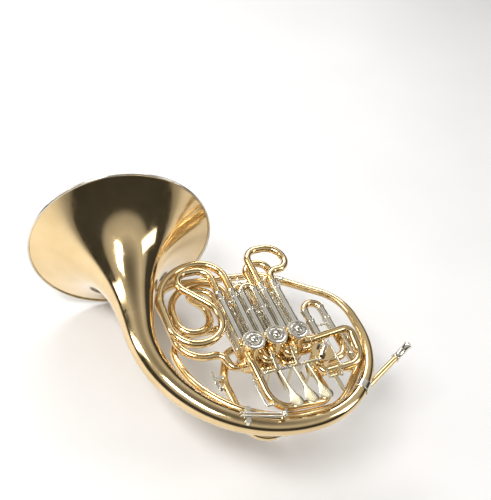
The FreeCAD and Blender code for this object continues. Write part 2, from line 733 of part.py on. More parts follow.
def make_thumb_lever():
    at = THUMB_HINGE
    link_end = crank_pin_at()
    arm_x = link_end.x - 2.6
    low = Vector(62, at.y, at.z)
    high = Vector(82, at.y, at.z)
    barrel = cylinder(2.8, low + Vector(2, 0, 0), high - Vector(2, 0, 0))
    upright = block((arm_x - 1.2, at.y - 2, at.z), (arm_x + 1.2, at.y + 2, LINK_Z + 2.5))
    paddle = block((67, at.y - 27, at.z - 0.8), (75, at.y, at.z + 0.8))
    tip = cylinder(4, Vector(71, at.y - 27, at.z - 0.8), Vector(71, at.y - 27, at.z + 0.8))
    lever = barrel.fuse([upright, paddle, tip])
    lever = lever.cut(cylinder(1.3 + RUNNING, low, high))
    pin_hole = cylinder(0.9 + RUNNING, Vector(arm_x - 3, at.y, LINK_Z), Vector(arm_x + 3, at.y, LINK_Z))
    put("thumb_lever", lever.cut(pin_hole))
    put("hinge_rods", cylinder(1.3, low - Vector(2, 0, 0), high + Vector(2, 0, 0)))
    tube_y = CHANGE_AT.y - STUB_END - 12
    for x in (low.x - 2, high.x):
        post = block((x, at.y - 3, at.z - 3), (x + 2, tube_y, at.z + 3))
        post = post.cut(cylinder(1.3 + SLEEVE_GAP, low - Vector(4, 0, 0), high + Vector(4, 0, 0)))
        put("lever_posts", post.cut(feed_envelope()))
    make_thumb_link(arm_x, link_end)


def make_thumb_link(arm_x, link_end):
    """Rod from the thumb lever to the crank pin. Its own pin turns in the thumb lever's arm."""
    pin_radius = 0.9
    foot = Vector(link_end.x, THUMB_HINGE.y, LINK_Z)
    head = Vector(link_end.x, link_end.y, LINK_Z)
    link = cylinder(1.1, foot, head)
    for at in (foot, head):
        link = link.fuse(Part.makeSphere(2.1, at))
    arm_face = arm_x + 1.25
    link = link.cut(block((arm_x - 4, foot.y - 4, LINK_Z - 4), (arm_face, foot.y + 4, LINK_Z + 4)))
    put("thumb_link", link.fuse(cylinder(pin_radius, Vector(arm_x - 1.6, foot.y, LINK_Z), foot)))


def feed_envelope():
    """Solid outline of the F feed tube under the thumb lever's posts."""
    y = CHANGE_AT.y - STUB_END - 12
    return cylinder(TUBE + 0.4, Vector(40, y, CHANGE_AT.z + CHANGE_LEVEL - 0.5), Vector(120, y, 1.6))


# ---- small fittings -----------------------------------------------------------------------------------------------
def make_water_key():
    """A nipple on the tubing's left side, closed by a cork on a sprung lever."""
    key_x = -87.0
    key_z = PIPE_Z
    hole_y = -34.0
    pipe = rod(extension_corners(), TUBE + SLEEVE_GAP)
    nipple_end = key_x - TUBE - 3.0
    nipple = ring(3, 1.6, Vector(key_x - TUBE + 0.8, hole_y, key_z), Vector(nipple_end, hole_y, key_z))
    put("water_key_saddle", nipple.cut(pipe))
    cork_x = nipple_end - 2.4
    put("water_key_cork", cylinder(3.4, Vector(nipple_end, hole_y, key_z), Vector(cork_x, hole_y, key_z)))
    pivot = Vector(cork_x - 1.2, hole_y + 16, key_z)
    arm = block((cork_x - 2.0, hole_y - 3, key_z - 3), (cork_x, hole_y + 34, key_z + 3))
    cup = cylinder(4.2, Vector(cork_x, hole_y, key_z), Vector(cork_x - 2.0, hole_y, key_z))
    barrel = cylinder(2.6, pivot - UP * 5, pivot + UP * 5)
    key = arm.fuse([cup, barrel]).cut(cylinder(1.1 + RUNNING, pivot - UP * 6, pivot + UP * 6))
    put("water_key", key)
    put("water_key_pin", cylinder(1.1, pivot - UP * 8.5, pivot + UP * 8.5))
    for side in (-1, 1):
        middle = pivot + UP * (side * 6.7)
        ear = block((pivot.x - 2.5, pivot.y - 2.5, middle.z - 1.2), (key_x, pivot.y + 2.5, middle.z + 1.2))
        ear = ear.cut(cylinder(1.1 + SLEEVE_GAP, pivot - UP * 9, pivot + UP * 9))
        put("water_key_saddle", ear.cut(pipe))


def make_lyre_holder(edges):
    """A lobed plate on the tail with two rods out to a boss, and the boss's thumb screw."""
    holder_at = Vector(-92, -111, 18.5)
    arm = Vector(49, -18, 0).normalize()
    across = Vector(-arm.y, arm.x, 0)
    boss_at = holder_at + arm * 52 + UP * 4.5
    plate = cylinder(6.5, holder_at - UP * 3.6, holder_at + UP * 1.2)
    for side in (-1, 1):
        lobe = holder_at + across * (side * 10)
        plate = plate.fuse(cylinder(4.2, lobe - UP * 6, lobe + UP * 1.2))
        start = holder_at - arm * 12 + across * (side * 2.6)
        plate = plate.fuse(rod([tuple(start), tuple(boss_at + across * (side * 2.6))], 1.4))
    boss = cylinder(4.8, boss_at - UP * 4, boss_at + UP * 4)
    holder = plate.fuse(boss).cut(cylinder(1.5 + RUNNING, boss_at - UP * 5, boss_at + UP * 5))
    tail = tapered(edges, 300, 620, bore_radius, 16)
    put("lyre_holder", holder.cut(tail))
    head_radius = 5.4
    head_centre = boss_at + UP * (5.8 + head_radius)
    flat = Vector(math.cos(math.radians(150)), math.sin(math.radians(150)), 0)
    head = cylinder(head_radius, head_centre - flat, head_centre + flat)
    collar = cylinder(3.2, boss_at + UP * 4.3, boss_at + UP * 6.4)
    put("lyre_screw", cylinder(1.5, boss_at - UP * 4, boss_at + UP * 6).fuse([head, collar]))


def make_hook():
    """Hook for the little finger, soldered to the F return tube."""
    hook = rod([(-50.5, -54, 8), (-60, -54, 13, 4), (-59, -104, 15, 3.5), (-48, -104, 15)], 1.7)
    hook = hook.fuse(Part.makeSphere(2.4, Vector(-48, -104, 15)))
    stay = rod([(VALVES[3] - LEG_OFFSET, -26, F_LEVEL), (-43, -106, 0)], TUBE)
    put("pinky_hook", hook.cut(stay))


def brace(start, end, tube_radius):
    """A round stay between two parallel tubes, with a flange at each foot and a collar in its middle."""
    along = Vector(end - start).normalize()
    first = start + along * (tube_radius + 0.1)
    last = end - along * (tube_radius + 0.1)
    stay = cylinder(1.6, first, last)
    middle = (first + last) * 0.5
    collar = cylinder(2.6, middle - along * 1.2, middle + along * 1.2)
    feet = [cylinder(3.2, first, first + along * 1.4), cylinder(3.2, last - along * 1.4, last)]
    return stay.fuse([collar] + feet)


def make_braces():
    """Stays between neighbouring slide legs and between the runs of tubing."""
    for number, y in ((3, 94), (2, 62), (1, 94)):
        low, high = leg_pair(number)
        for z, place in ((F_LEVEL, y), (B_LEVEL, y - 16)):
            put("braces", brace(Vector(low, place, z), Vector(high, place, z), LEG))
    low, high = MAIN_SLIDE_X
    put("braces", brace(Vector(low, 22, MAIN_SLIDE_Z), Vector(high, 22, MAIN_SLIDE_Z), LEG))
    upper, lower = B_SLIDE_Z
    put("braces", brace(Vector(B_SLIDE_X, -26, upper), Vector(B_SLIDE_X, -26, lower), LEG))


# ---- assembly -----------------------------------------------------------------------------------------------------
def make_horn():
    edges = bell_path()
    make_flare()
    branch_end, branch_heading = make_tail(edges)
    make_valves()
    make_valve_slides()
    make_main_slide()
    make_b_slide()
    mouth = make_leadpipe()
    make_branches(branch_end, branch_heading)
    make_levers()
    make_thumb_lever()
    make_water_key()
    make_lyre_holder(edges)
    make_hook()
    make_braces()
    return mouth


def export(origin):
    """Writes every node with the given point moved to the origin."""
    os.makedirs("parts", exist_ok=True)
    for name, solids in NODES.items():
        pieces = [solid for shape in solids for solid in shape.Solids]
        shape = pieces[0] if len(pieces) == 1 else Part.makeCompound(pieces)
        shape.translate(origin * -1)
        shape.exportStep("parts/%s.step" % name)


export(make_horn())
print(len(NODES), "nodes", sum(len(s.Solids) for group in NODES.values() for s in group), "solids")
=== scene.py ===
"""Looks of a double French horn: lacquered brass tubing, nickel-silver fittings and plated levers.

Shapes are given in millimetres from the datum, where the middle valve's axis crosses the mid-plane.
+X runs along the valve row, +Y along the valve slides and +Z out of the valve caps.
"""
import math

import bmesh
import bpy
from mathutils import Matrix, Vector


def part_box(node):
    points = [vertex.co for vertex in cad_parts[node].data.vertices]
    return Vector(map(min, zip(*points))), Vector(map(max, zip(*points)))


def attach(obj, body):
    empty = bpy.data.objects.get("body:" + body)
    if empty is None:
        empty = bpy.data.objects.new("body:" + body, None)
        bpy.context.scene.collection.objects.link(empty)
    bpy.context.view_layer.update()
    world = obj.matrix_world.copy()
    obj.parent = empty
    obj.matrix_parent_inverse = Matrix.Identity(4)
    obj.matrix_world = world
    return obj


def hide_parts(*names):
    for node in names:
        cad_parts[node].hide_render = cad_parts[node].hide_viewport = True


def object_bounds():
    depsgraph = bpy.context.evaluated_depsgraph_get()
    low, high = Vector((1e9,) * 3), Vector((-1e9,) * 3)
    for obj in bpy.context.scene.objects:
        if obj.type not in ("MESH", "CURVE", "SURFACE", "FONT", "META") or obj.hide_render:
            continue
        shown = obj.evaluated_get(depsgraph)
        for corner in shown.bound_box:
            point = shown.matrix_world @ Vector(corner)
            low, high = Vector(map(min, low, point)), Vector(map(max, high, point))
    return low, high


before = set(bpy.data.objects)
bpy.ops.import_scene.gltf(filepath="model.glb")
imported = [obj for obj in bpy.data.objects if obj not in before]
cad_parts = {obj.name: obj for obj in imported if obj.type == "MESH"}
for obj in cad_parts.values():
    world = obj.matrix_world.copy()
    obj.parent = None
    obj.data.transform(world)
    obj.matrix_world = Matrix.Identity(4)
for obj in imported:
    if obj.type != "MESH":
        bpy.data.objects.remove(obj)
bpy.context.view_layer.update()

MM = 0.001
casing_low, casing_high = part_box("valve_casing_2")
DATUM = (casing_low + casing_high) / 2
UP = Vector((0, 0, 1))
ROOT = "horn_body"

# ---- driving dimensions, in millimetres ----------------------------------------------------------
BORE = 5.95                 # radius of the cylindrical bore
TUBE = 6.4                  # outer radius of fixed tubing and of a slide's inner legs
LEG = 6.9                   # outer radius of a slide's outer leg
LEG_OFFSET = 11.5           # a slide leg's distance from its valve's axis
F_LEVEL = 14.0              # height of the F-side tubing
B_LEVEL = -14.0             # height of the B-flat-side tubing
VALVE_SPACING = 38.0
VALVES = {1: VALVE_SPACING, 2: 0.0, 3: -VALVE_SPACING}
KNUCKLES = ((-VALVE_SPACING, 0.0), (0.0, VALVE_SPACING))    # the valves that each knuckle joins
CASING = 17.0               # outer radius of a valve casing
LIP = CASING + 0.8          # outer radius of the casing's ends
STUB_END = 18.5             # how far a port stub reaches from the valve's axis
PORT = 10.9                 # how far a port lies from the axis, along both X and Y
PORT_START = 8.0            # where a port stub starts, measured like STUB_END
MAIN_HALF = 28.0            # half the chamber's height in a main valve
CHANGE_HALF = 21.0          # the same in the change valve
CHANGE_AT = Vector((70, -35.5, -13))
CHANGE_LEVEL = 12.0         # its two passages lie this far above and below its middle

RIM_CENTRE = Vector((-165, 279, 0))
BELL_HEADING = 262.0        # direction of the bell's stem away from the rim, in degrees from +X
RIM_RADIUS = 155.5
CONE_START = 25.0           # outer radius that the slow cone would have at the rim
CONE_SLOPE = 0.0225         # what the cone loses in radius for each millimetre of path
FLARE_REACH = 58.0          # path length over which the flare falls to a third
FLARE_LENGTH = 175.0        # from the rim to the seam where the flare meets the tail
TAIL_END = 640.0            # path length from the rim to the tail's ferrule
BELL_WALL = 0.7
BOTTOM_Y = -141.5           # where the tail crosses the bottom of the horn

MAIN_SLIDE_X = (84.5, 114.5)
MAIN_SLIDE_Z = -3.0
B_SLIDE_X = 137.0
B_SLIDE_Z = (-12.0, -35.0)
PIPE_Z = -26.0              # height of the mouthpipe where it passes behind the tail
PIPE_Y = -132.0
PIPE_JOINT_X = -44.0
RECEIVER_BORE = 4.15

HINGE_Y = -50.0             # the three finger levers turn on one rod
HINGE_Z = 15.0
BAR_Z = -47.0               # the levers' string bars run behind the valves
HUB = 5.5                   # radius of the hub that the string turns
THUMB_HINGE = Vector((72, -79, 6))
CRANK = 6.0                 # radius of the pin that turns the change valve
CRANK_ANGLE = 45.0          # where that pin stands at rest, from +X
LINK_Z = 34.0
LEVER_ARM_X = {1: 33.0, 2: 9.0, 3: -15.5}
REAR_ARM_X = {2: 17.5, 3: -17.0}    # flat arms that run from the hinge towards the valves

SIDES = 40                  # facets round a tube
SAME_PLACE = 0.02           # stops of a path nearer than this are one stop
SHARP = math.radians(38)    # edges that turn by more than this stay crisp


# ---- materials -----------------------------------------------------------------------------------
class Nodes:
    """A material's node tree, with short calls to add and join nodes."""

    def __init__(self, name):
        self.material = bpy.data.materials.new(name)
        self.material.use_nodes = True
        self.tree = self.material.node_tree
        self.shader = self.tree.nodes["Principled BSDF"]
        self.place = self.add("ShaderNodeTexCoord").outputs["Object"]

    def add(self, kind, **inputs):
        node = self.tree.nodes.new(kind)
        for key, value in inputs.items():
            node.inputs[key.replace("_", " ")].default_value = value
        return node

    def join(self, output, node, name):
        self.tree.links.new(output, node.inputs[name])

    def noise(self, scale, detail=4.0, stretch=None):
        node = self.add("ShaderNodeTexNoise", Scale=scale, Detail=detail)
        if stretch:
            mapping = self.add("ShaderNodeMapping", Scale=stretch)
            self.join(self.place, mapping, "Vector")
            self.join(mapping.outputs["Vector"], node, "Vector")
        else:
            self.join(self.place, node, "Vector")
        return node.outputs["Fac"]

    def remap(self, value, low, high, start=0.3, end=0.7):
        node = self.add("ShaderNodeMapRange", From_Min=start, From_Max=end, To_Min=low, To_Max=high)
        self.join(value, node, "Value")
        return node.outputs["Result"]

    def blend(self, value, low, high):
        ramp = self.add("ShaderNodeValToRGB")
        ramp.color_ramp.elements[0].position = 0.3
        ramp.color_ramp.elements[1].position = 0.7
        ramp.color_ramp.elements[0].color = (*low, 1)
        ramp.color_ramp.elements[1].color = (*high, 1)
        self.join(value, ramp, "Fac")
        return ramp.outputs["Color"]

    def bump(self, value, strength, distance):
        node = self.add("ShaderNodeBump", Strength=strength, Distance=distance)
        self.join(value, node, "Height")
        self.join(node.outputs["Normal"], self.shader, "Normal")
        return node


def polished(name, deep, bright, smooth=0.09, rough=0.20, coat=0.6, relief=0.05):
    """Polished metal: slow change of tint, finger smudges in the gloss, and faint polishing marks."""
    nodes = Nodes(name)
    nodes.shader.inputs["Metallic"].default_value = 1.0
    nodes.shader.inputs["Coat Weight"].default_value = coat
    nodes.shader.inputs["Coat Roughness"].default_value = 0.05
    tint = nodes.blend(nodes.noise(22.0, 5.0), deep, bright)
    edges = nodes.add("ShaderNodeNewGeometry").outputs["Pointiness"]
    worn = nodes.add("ShaderNodeMix")
    worn.data_type = "RGBA"
    nodes.join(nodes.remap(edges, 0.0, 0.35, 0.52, 0.62), worn, "Factor")
    nodes.tree.links.new(tint, worn.inputs[6])
    worn.inputs[7].default_value = (*[min(1.0, c * 1.12) for c in bright], 1)
    nodes.join(worn.outputs[2], nodes.shader, "Base Color")
    smudge = nodes.remap(nodes.noise(70.0, 6.0), smooth, rough)
    nodes.join(smudge, nodes.shader, "Roughness")
    marks = nodes.noise(260.0, 2.0, (1.0, 9.0, 1.0))
    nodes.bump(marks, relief, 0.00012)
    return nodes.material


def satin(name, deep, bright):
    """Plated levers worn by fingers: fine brushed lines along the lever with soft bright patches."""
    nodes = Nodes(name)
    nodes.shader.inputs["Metallic"].default_value = 1.0
    nodes.join(nodes.blend(nodes.noise(60.0, 6.0), deep, bright), nodes.shader, "Base Color")
    nodes.join(nodes.remap(nodes.noise(40.0, 4.0), 0.14, 0.26), nodes.shader, "Roughness")
    lines = nodes.noise(420.0, 2.0, (9.0, 1.0, 1.0))
    nodes.bump(lines, 0.12, 0.00015)
    return nodes.material


def plain_rough(name, deep, bright, grain, strength, stretch=None, roughness=0.75):
    """Cork, cord and other dull stuff: mottled colour with a grainy surface."""
    nodes = Nodes(name)
    nodes.join(nodes.blend(nodes.noise(grain, 8.0), deep, bright), nodes.shader, "Base Color")
    nodes.shader.inputs["Roughness"].default_value = roughness
    nodes.bump(nodes.noise(grain * 1.7, 6.0, stretch), strength, 0.0004)
    return nodes.material


def braided(name, deep, bright):
    """Woven cord: crossing diagonal bands."""
    nodes = Nodes(name)
    waves = nodes.add("ShaderNodeTexWave", Scale=900.0, Distortion=1.5, Detail=2.0)
    waves.bands_direction = "DIAGONAL"
    nodes.join(nodes.place, waves, "Vector")
    nodes.join(nodes.blend(waves.outputs["Fac"], deep, bright), nodes.shader, "Base Color")
    nodes.shader.inputs["Roughness"].default_value = 0.8
    nodes.bump(waves.outputs["Fac"], 0.6, 0.0002)
    return nodes.material


def engraved(name, deep, bright):
    """Nickel silver with a fine chased pattern that holds darker tarnish."""
    nodes = Nodes(name)
    nodes.shader.inputs["Metallic"].default_value = 1.0
    cells = nodes.add("ShaderNodeTexVoronoi", Scale=620.0)
    nodes.join(nodes.place, cells, "Vector")
    chase = cells.outputs["Distance"]
    nodes.join(nodes.blend(chase, bright, deep), nodes.shader, "Base Color")
    nodes.join(nodes.remap(chase, 0.18, 0.4), nodes.shader, "Roughness")
    nodes.bump(chase, 0.7, 0.0003)
    return nodes.material


BRASS = polished("lacquered_brass", (0.70, 0.50, 0.23), (0.84, 0.64, 0.34))
BELL = polished("spun_bell_brass", (0.72, 0.53, 0.26), (0.83, 0.63, 0.35), 0.07, 0.15, 0.7, 0.03)
NICKEL = polished("nickel_silver", (0.68, 0.64, 0.54), (0.83, 0.79, 0.69), 0.08, 0.19)
LEVER = satin("plated_lever", (0.66, 0.58, 0.38), (0.80, 0.72, 0.51))
CHASED = engraved("chased_cap", (0.24, 0.22, 0.19), (0.70, 0.67, 0.60))
ROTOR = polished("rotor_metal", (0.60, 0.54, 0.40), (0.72, 0.66, 0.52), 0.18, 0.34, 0.0, 0.2)
STEEL = polished("spring_steel", (0.42, 0.42, 0.43), (0.62, 0.62, 0.63), 0.2, 0.36, 0.0)
CORD = braided("braided_cord", (0.02, 0.018, 0.015), (0.10, 0.09, 0.08))
CORK = plain_rough("dark_cork", (0.03, 0.022, 0.016), (0.13, 0.09, 0.06), 700.0, 0.6)


# ---- general shapes ------------------------------------------------------------------------------
def course(corners, line_step=None, turn_step=math.radians(5)):
    """Points and headings along straight runs joined by arcs at the inner corners (x, y, z, bend radius)."""
    points = [Vector(corner[:3]) for corner in corners]
    stops = [(points[0], (points[1] - points[0]).normalized())]
    for before, corner, after, spec in zip(points, points[1:], points[2:], corners[1:]):
        arriving = (corner - before).normalized()
        leaving = (after - corner).normalized()
        turn = arriving.angle(leaving)
        radius = spec[3]
        first = corner - arriving * (radius * math.tan(turn / 2))
        inward = (leaving - arriving * arriving.dot(leaving)).normalized()
        centre = first + inward * radius
        axis = arriving.cross(leaving).normalized()
        count = max(2, math.ceil(turn / turn_step))
        for i in range(count + 1):
            spin = Matrix.Rotation(turn * i / count, 3, axis)
            stops.append((centre + spin @ (first - centre), spin @ arriving))
    stops.append((points[-1], (points[-1] - points[-2]).normalized()))
    result = [stops[0]]
    for at, heading in stops[1:]:
        last, old = result[-1]
        gap = (at - last).length
        if gap < SAME_PLACE:
            continue
        if line_step and gap > line_step and old.angle(heading) < 0.01:
            parts = math.ceil(gap / line_step)
            result.extend((last.lerp(at, i / parts), old) for i in range(1, parts))
        result.append((at, heading))
    return result


def lengths(stops):
    """Path length at each stop."""
    total = [0.0]
    for (before, old), (at, heading) in zip(stops, stops[1:]):
        chord = (at - before).length
        turn = old.angle(heading)
        total.append(total[-1] + (chord * (turn / 2) / math.sin(turn / 2) if turn > 1e-4 else chord))
    return total


def side_of(heading):
    rough = UP if abs(heading.z) < 0.9 else Vector((0, 1, 0))
    return heading.cross(rough).normalized()


def circles(stops, radii, sides=SIDES):
    """Rings of points round a path; each ring is turned as little as possible from the one before."""
    side = side_of(stops[0][1])
    rings = []
    for (at, heading), radius in zip(stops, radii):
        side = (side - heading * side.dot(heading)).normalized()
        other = heading.cross(side)
        ring = []
        for i in range(sides):
            angle = 2 * math.pi * i / sides
            ring.append(at + (side * math.cos(angle) + other * math.sin(angle)) * radius)
        rings.append(ring)
    return rings


class Piece:
    """One named object, built from shapes given in millimetres from the datum."""

    def __init__(self, name, *materials):
        self.name = name
        self.mesh = bmesh.new()
        self.materials = materials
        self.paint = 0

    def skin(self, rings, loop=False):
        """Quads between rings of points. The ends are capped, or joined to each other in a loop."""
        rows = [[self.mesh.verts.new(DATUM + point * MM) for point in ring] for ring in rings]
        pairs = list(zip(rows, rows[1:]))
        if loop:
            pairs.append((rows[-1], rows[0]))
        faces = []
        for low, high in pairs:
            for i in range(len(low)):
                j = (i + 1) % len(low)
                faces.append(self.mesh.faces.new((low[i], low[j], high[j], high[i])))
        if not loop:
            faces.append(self.mesh.faces.new(list(reversed(rows[0]))))
            faces.append(self.mesh.faces.new(rows[-1]))
        for face in faces:
            face.material_index = self.paint
            face.smooth = True

    def pipe(self, corners, outer=TUBE, inner=BORE, sides=SIDES, line_step=None):
        stops = course(corners, line_step)
        rings = circles(stops, [outer] * len(stops), sides)
        rings += reversed(circles(stops, [inner] * len(stops), sides))
        self.skin(rings, loop=True)

    def rod(self, corners, radius, sides=20):
        stops = course(corners)
        self.skin(circles(stops, [radius] * len(stops), sides))

    def wire(self, points, radius, sides=12):
        """A round wire through the given points."""
        stops = []
        for i, point in enumerate(points):
            before = points[max(0, i - 1)]
            after = points[min(len(points) - 1, i + 1)]
            stops.append((point, (after - before).normalized()))
        self.skin(circles(stops, [radius] * len(stops), sides))

    def turned(self, rows, base, heading, sides=56, loop=False):
        """A turned shape: rows of (radius, height) along heading from base. A loop is a ring with a hole."""
        along = Vector(heading).normalized()
        stops = [(Vector(base) + along * height, along) for radius, height in rows]
        self.skin(circles(stops, [max(radius, 0.02) for radius, height in rows], sides), loop)

    def ball(self, radius, centre, heading=UP):
        steps = 16
        rows = []
        for i in range(steps + 1):
            angle = math.pi * i / steps
            rows.append((radius * math.sin(angle), -radius * math.cos(angle)))
        self.turned(rows, centre, heading, 28)

    def torus(self, ring_radius, wire_radius, centre, heading, sides=72, round_sides=14):
        rows = []
        for i in range(round_sides):
            angle = 2 * math.pi * i / round_sides
            rows.append((ring_radius + wire_radius * math.cos(angle), wire_radius * math.sin(angle)))
        self.turned(rows, centre, heading, sides, loop=True)

    def slab(self, low, high, turn=None, about=None):
        """A block between two corners, which may be turned by a matrix about a point."""
        corners = [(low[0], low[1]), (high[0], low[1]), (high[0], high[1]), (low[0], high[1])]
        rings = [[Vector((x, y, z)) for x, y in corners] for z in (low[2], high[2])]
        if turn:
            pivot = Vector(about)
            rings = [[pivot + turn @ (point - pivot) for point in ring] for ring in rings]
        self.skin(rings)

    def done(self, body=ROOT, replaces=(), soften=0.0):
        """Makes the object on its body, with sharp edges rounded by soften millimetres."""
        bmesh.ops.recalc_face_normals(self.mesh, faces=self.mesh.faces)
        data = bpy.data.meshes.new(self.name)
        self.mesh.to_mesh(data)
        self.mesh.free()
        data.set_sharp_from_angle(angle=SHARP)
        for material in self.materials:
            data.materials.append(material)
        piece = bpy.data.objects.new(self.name, data)
        bpy.context.scene.collection.objects.link(piece)
        if soften:
            bevel = piece.modifiers.new("soft_edges", "BEVEL")
            bevel.width = soften * MM
            bevel.segments = 2
            bevel.limit_method = "ANGLE"
            bevel.angle_limit = SHARP
            bevel.harden_normals = True
        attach(piece, body)
        if replaces:
            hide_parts(*replaces)
        return piece


# ---- bell, tail and branches ---------------------------------------------------------------------
def bore_radius(s):
    """Outer radius of the expanding bore at path length s from the rim."""
    flare = (RIM_RADIUS - CONE_START) * math.exp(-s / FLARE_REACH)
    return max(CONE_START - CONE_SLOPE * s + flare, TUBE)


def stem():
    heading = math.radians(BELL_HEADING)
    return Vector((math.cos(heading), math.sin(heading), 0))


def bell_course():
    heading = stem()
    corner = RIM_CENTRE + heading * ((BOTTOM_Y - RIM_CENTRE.y) / heading.y)
    return course([
        tuple(RIM_CENTRE),
        (corner.x, BOTTOM_Y, 0, 205),
        (158, BOTTOM_Y, 0, 145),
        (158, 62, 0, 110),
        (86, 150, -30),
    ], line_step=4, turn_step=math.radians(1.5))


def make_flare():
    steps = 90
    outside = []
    inside = []
    for i in range(steps + 1):
        s = FLARE_LENGTH * (i / steps) ** 1.7
        slope = (RIM_RADIUS - CONE_START) / FLARE_REACH * math.exp(-s / FLARE_REACH) + CONE_SLOPE
        length = math.hypot(1, slope)
        outside.append((bore_radius(s), s))
        inside.append((bore_radius(s) - BELL_WALL / length, s - BELL_WALL * slope / length))
    inside[0] = (outside[0][0] - BELL_WALL, 0.0)
    inside[-1] = (outside[-1][0] - BELL_WALL, FLARE_LENGTH)
    flare = Piece("bell_flare_spun", BELL)
    flare.turned(outside + inside[::-1], RIM_CENTRE, stem(), 192, loop=True)
    flare.done(replaces=["bell_flare"])
    rim = Piece("bell_rim_bead", NICKEL)
    rim.torus(RIM_RADIUS - 1.2, 2.2, RIM_CENTRE + stem() * 1.2, stem(), 192, 20)
    rim.done(replaces=["bell_rim_wire"])


def make_tail():
    """Tail and first branch behind the flare. Returns their course, and the stop where the tail ends."""
    stops = bell_course()
    along = lengths(stops)
    parts = [("bell_tail_tube", BELL, FLARE_LENGTH, TAIL_END, "bell_tail")]
    parts.append(("first_branch_tube", BRASS, TAIL_END, along[-1], "first_branch"))
    for name, material, start, end, node in parts:
        chosen = [(stop, s) for stop, s in zip(stops, along) if start - 2 <= s <= end + 2]
        run = [stop for stop, s in chosen]
        outer = [bore_radius(s) for stop, s in chosen]
        inner = [radius - BELL_WALL for radius in outer]
        piece = Piece(name, material)
        rings = circles(run, outer, 72)
        rings += reversed(circles(run, inner, 72))
        piece.skin(rings, loop=True)
        piece.done(replaces=[node])
    seam = min(range(len(along)), key=lambda i: abs(along[i] - TAIL_END))
    return stops, seam


def ferrule(piece, at, heading, length, outer=TUBE + 1.5, inner=TUBE + 0.03):
    """A sleeve with a rounded bead at each end and a fine middle line."""
    half = length / 2
    body = outer - 0.6
    rows = [(inner, -half), (outer - 0.35, -half), (outer, -half + 0.5), (outer, -half + 1.1)]
    rows += [(body, -half + 1.8), (body, -0.7), (body + 0.35, -0.35), (body + 0.35, 0.35), (body, 0.7)]
    rows += [(body, half - 1.8), (outer, half - 1.1), (outer, half - 0.5)]
    rows += [(outer - 0.35, half), (inner, half)]
    piece.turned(rows, at, heading, 48, loop=True)


def make_ferrules(stops, seam):
    """Sleeves at the soldered joints."""
    piece = Piece("joint_ferrules", NICKEL)
    at, heading = stops[seam]
    fit = bore_radius(TAIL_END - 9) + 0.3
    ferrule(piece, at, heading, 16, fit + 1.4, fit)
    at, heading = stops[-1]
    ferrule(piece, at, heading, 14, TUBE + 1.5, TUBE + 0.15)
    ferrule(piece, Vector((PIPE_JOINT_X, PIPE_Y, PIPE_Z)), (1, 0, 0), 14, TUBE + 1.5, TUBE + 0.1)
    for left, right in KNUCKLES:
        for level in (F_LEVEL, B_LEVEL):
            middle = Vector(((left + right) / 2, -STUB_END - 8.5, level))
            rows = [(TUBE + 0.03, -0.7), (TUBE + 1.0, -0.7), (TUBE + 1.2, -0.4), (TUBE + 1.2, 0.4)]
            rows += [(TUBE + 1.0, 0.7), (TUBE + 0.03, 0.7)]
            piece.turned(rows, middle, (1, 0, 0), 48, loop=True)
    piece.done(replaces=["ferrules"])


# ---- valves --------------------------------------------------------------------------------------
def main_ports(number):
    """Start and end of every port stub of a main valve, on both levels."""
    x = VALVES[number]
    ports = []
    for level in (F_LEVEL, B_LEVEL):
        for sign in (1, -1):
            leg_x = x + sign * LEG_OFFSET
            ports.append(((leg_x, PORT_START, level), (leg_x, STUB_END, level)))
            sideways = (number == 1 and sign > 0) or (number == 3 and sign < 0 and level < 0)
            if sideways:
                start = (x + sign * PORT_START, -PORT, level)
                ports.append((start, (x + sign * STUB_END, -PORT, level)))
            else:
                ports.append(((leg_x, -PORT_START, level), (leg_x, -STUB_END, level)))
    return ports


def change_ports():
    at = CHANGE_AT
    ports = []
    for level in (at.z + CHANGE_LEVEL, at.z - CHANGE_LEVEL):
        side = at.y - PORT
        ports.append(((at.x + PORT_START, side, level), (at.x + STUB_END, side, level)))
        side = at.x - PORT
        ports.append(((side, at.y - PORT_START, level), (side, at.y - STUB_END, level)))
    return ports


def make_casing_bands(name, centre, half):
    """Turned bands round the ends of a casing, which keeps its own shape and port stubs."""
    end_wall = 3
    piece = Piece(name, BRASS)
    rows = [(LIP + 0.02, 0.5), (LIP + 0.3, 0.8), (LIP + 0.3, 1.5), (LIP + 0.02, 1.8)]
    for side in (-1, 1):
        base = Vector(centre) + UP * (side * (half + end_wall))
        piece.turned(rows, base, UP * -side, 72, loop=True)
    piece.done()


def make_port_sleeves():
    """A thin bright sleeve at the end of every port stub."""
    piece = Piece("port_sleeves", NICKEL)
    for start, end in main_ports(1) + main_ports(2) + main_ports(3) + change_ports():
        inward = (Vector(start) - Vector(end)).normalized()
        rows = [(LEG + 0.02, 0.05), (LEG + 0.25, 0.2), (LEG + 0.3, 0.6), (LEG + 0.12, 1.0), (LEG + 0.02, 1.1)]
        piece.turned(rows, end, inward, 40, loop=True)
    piece.done()


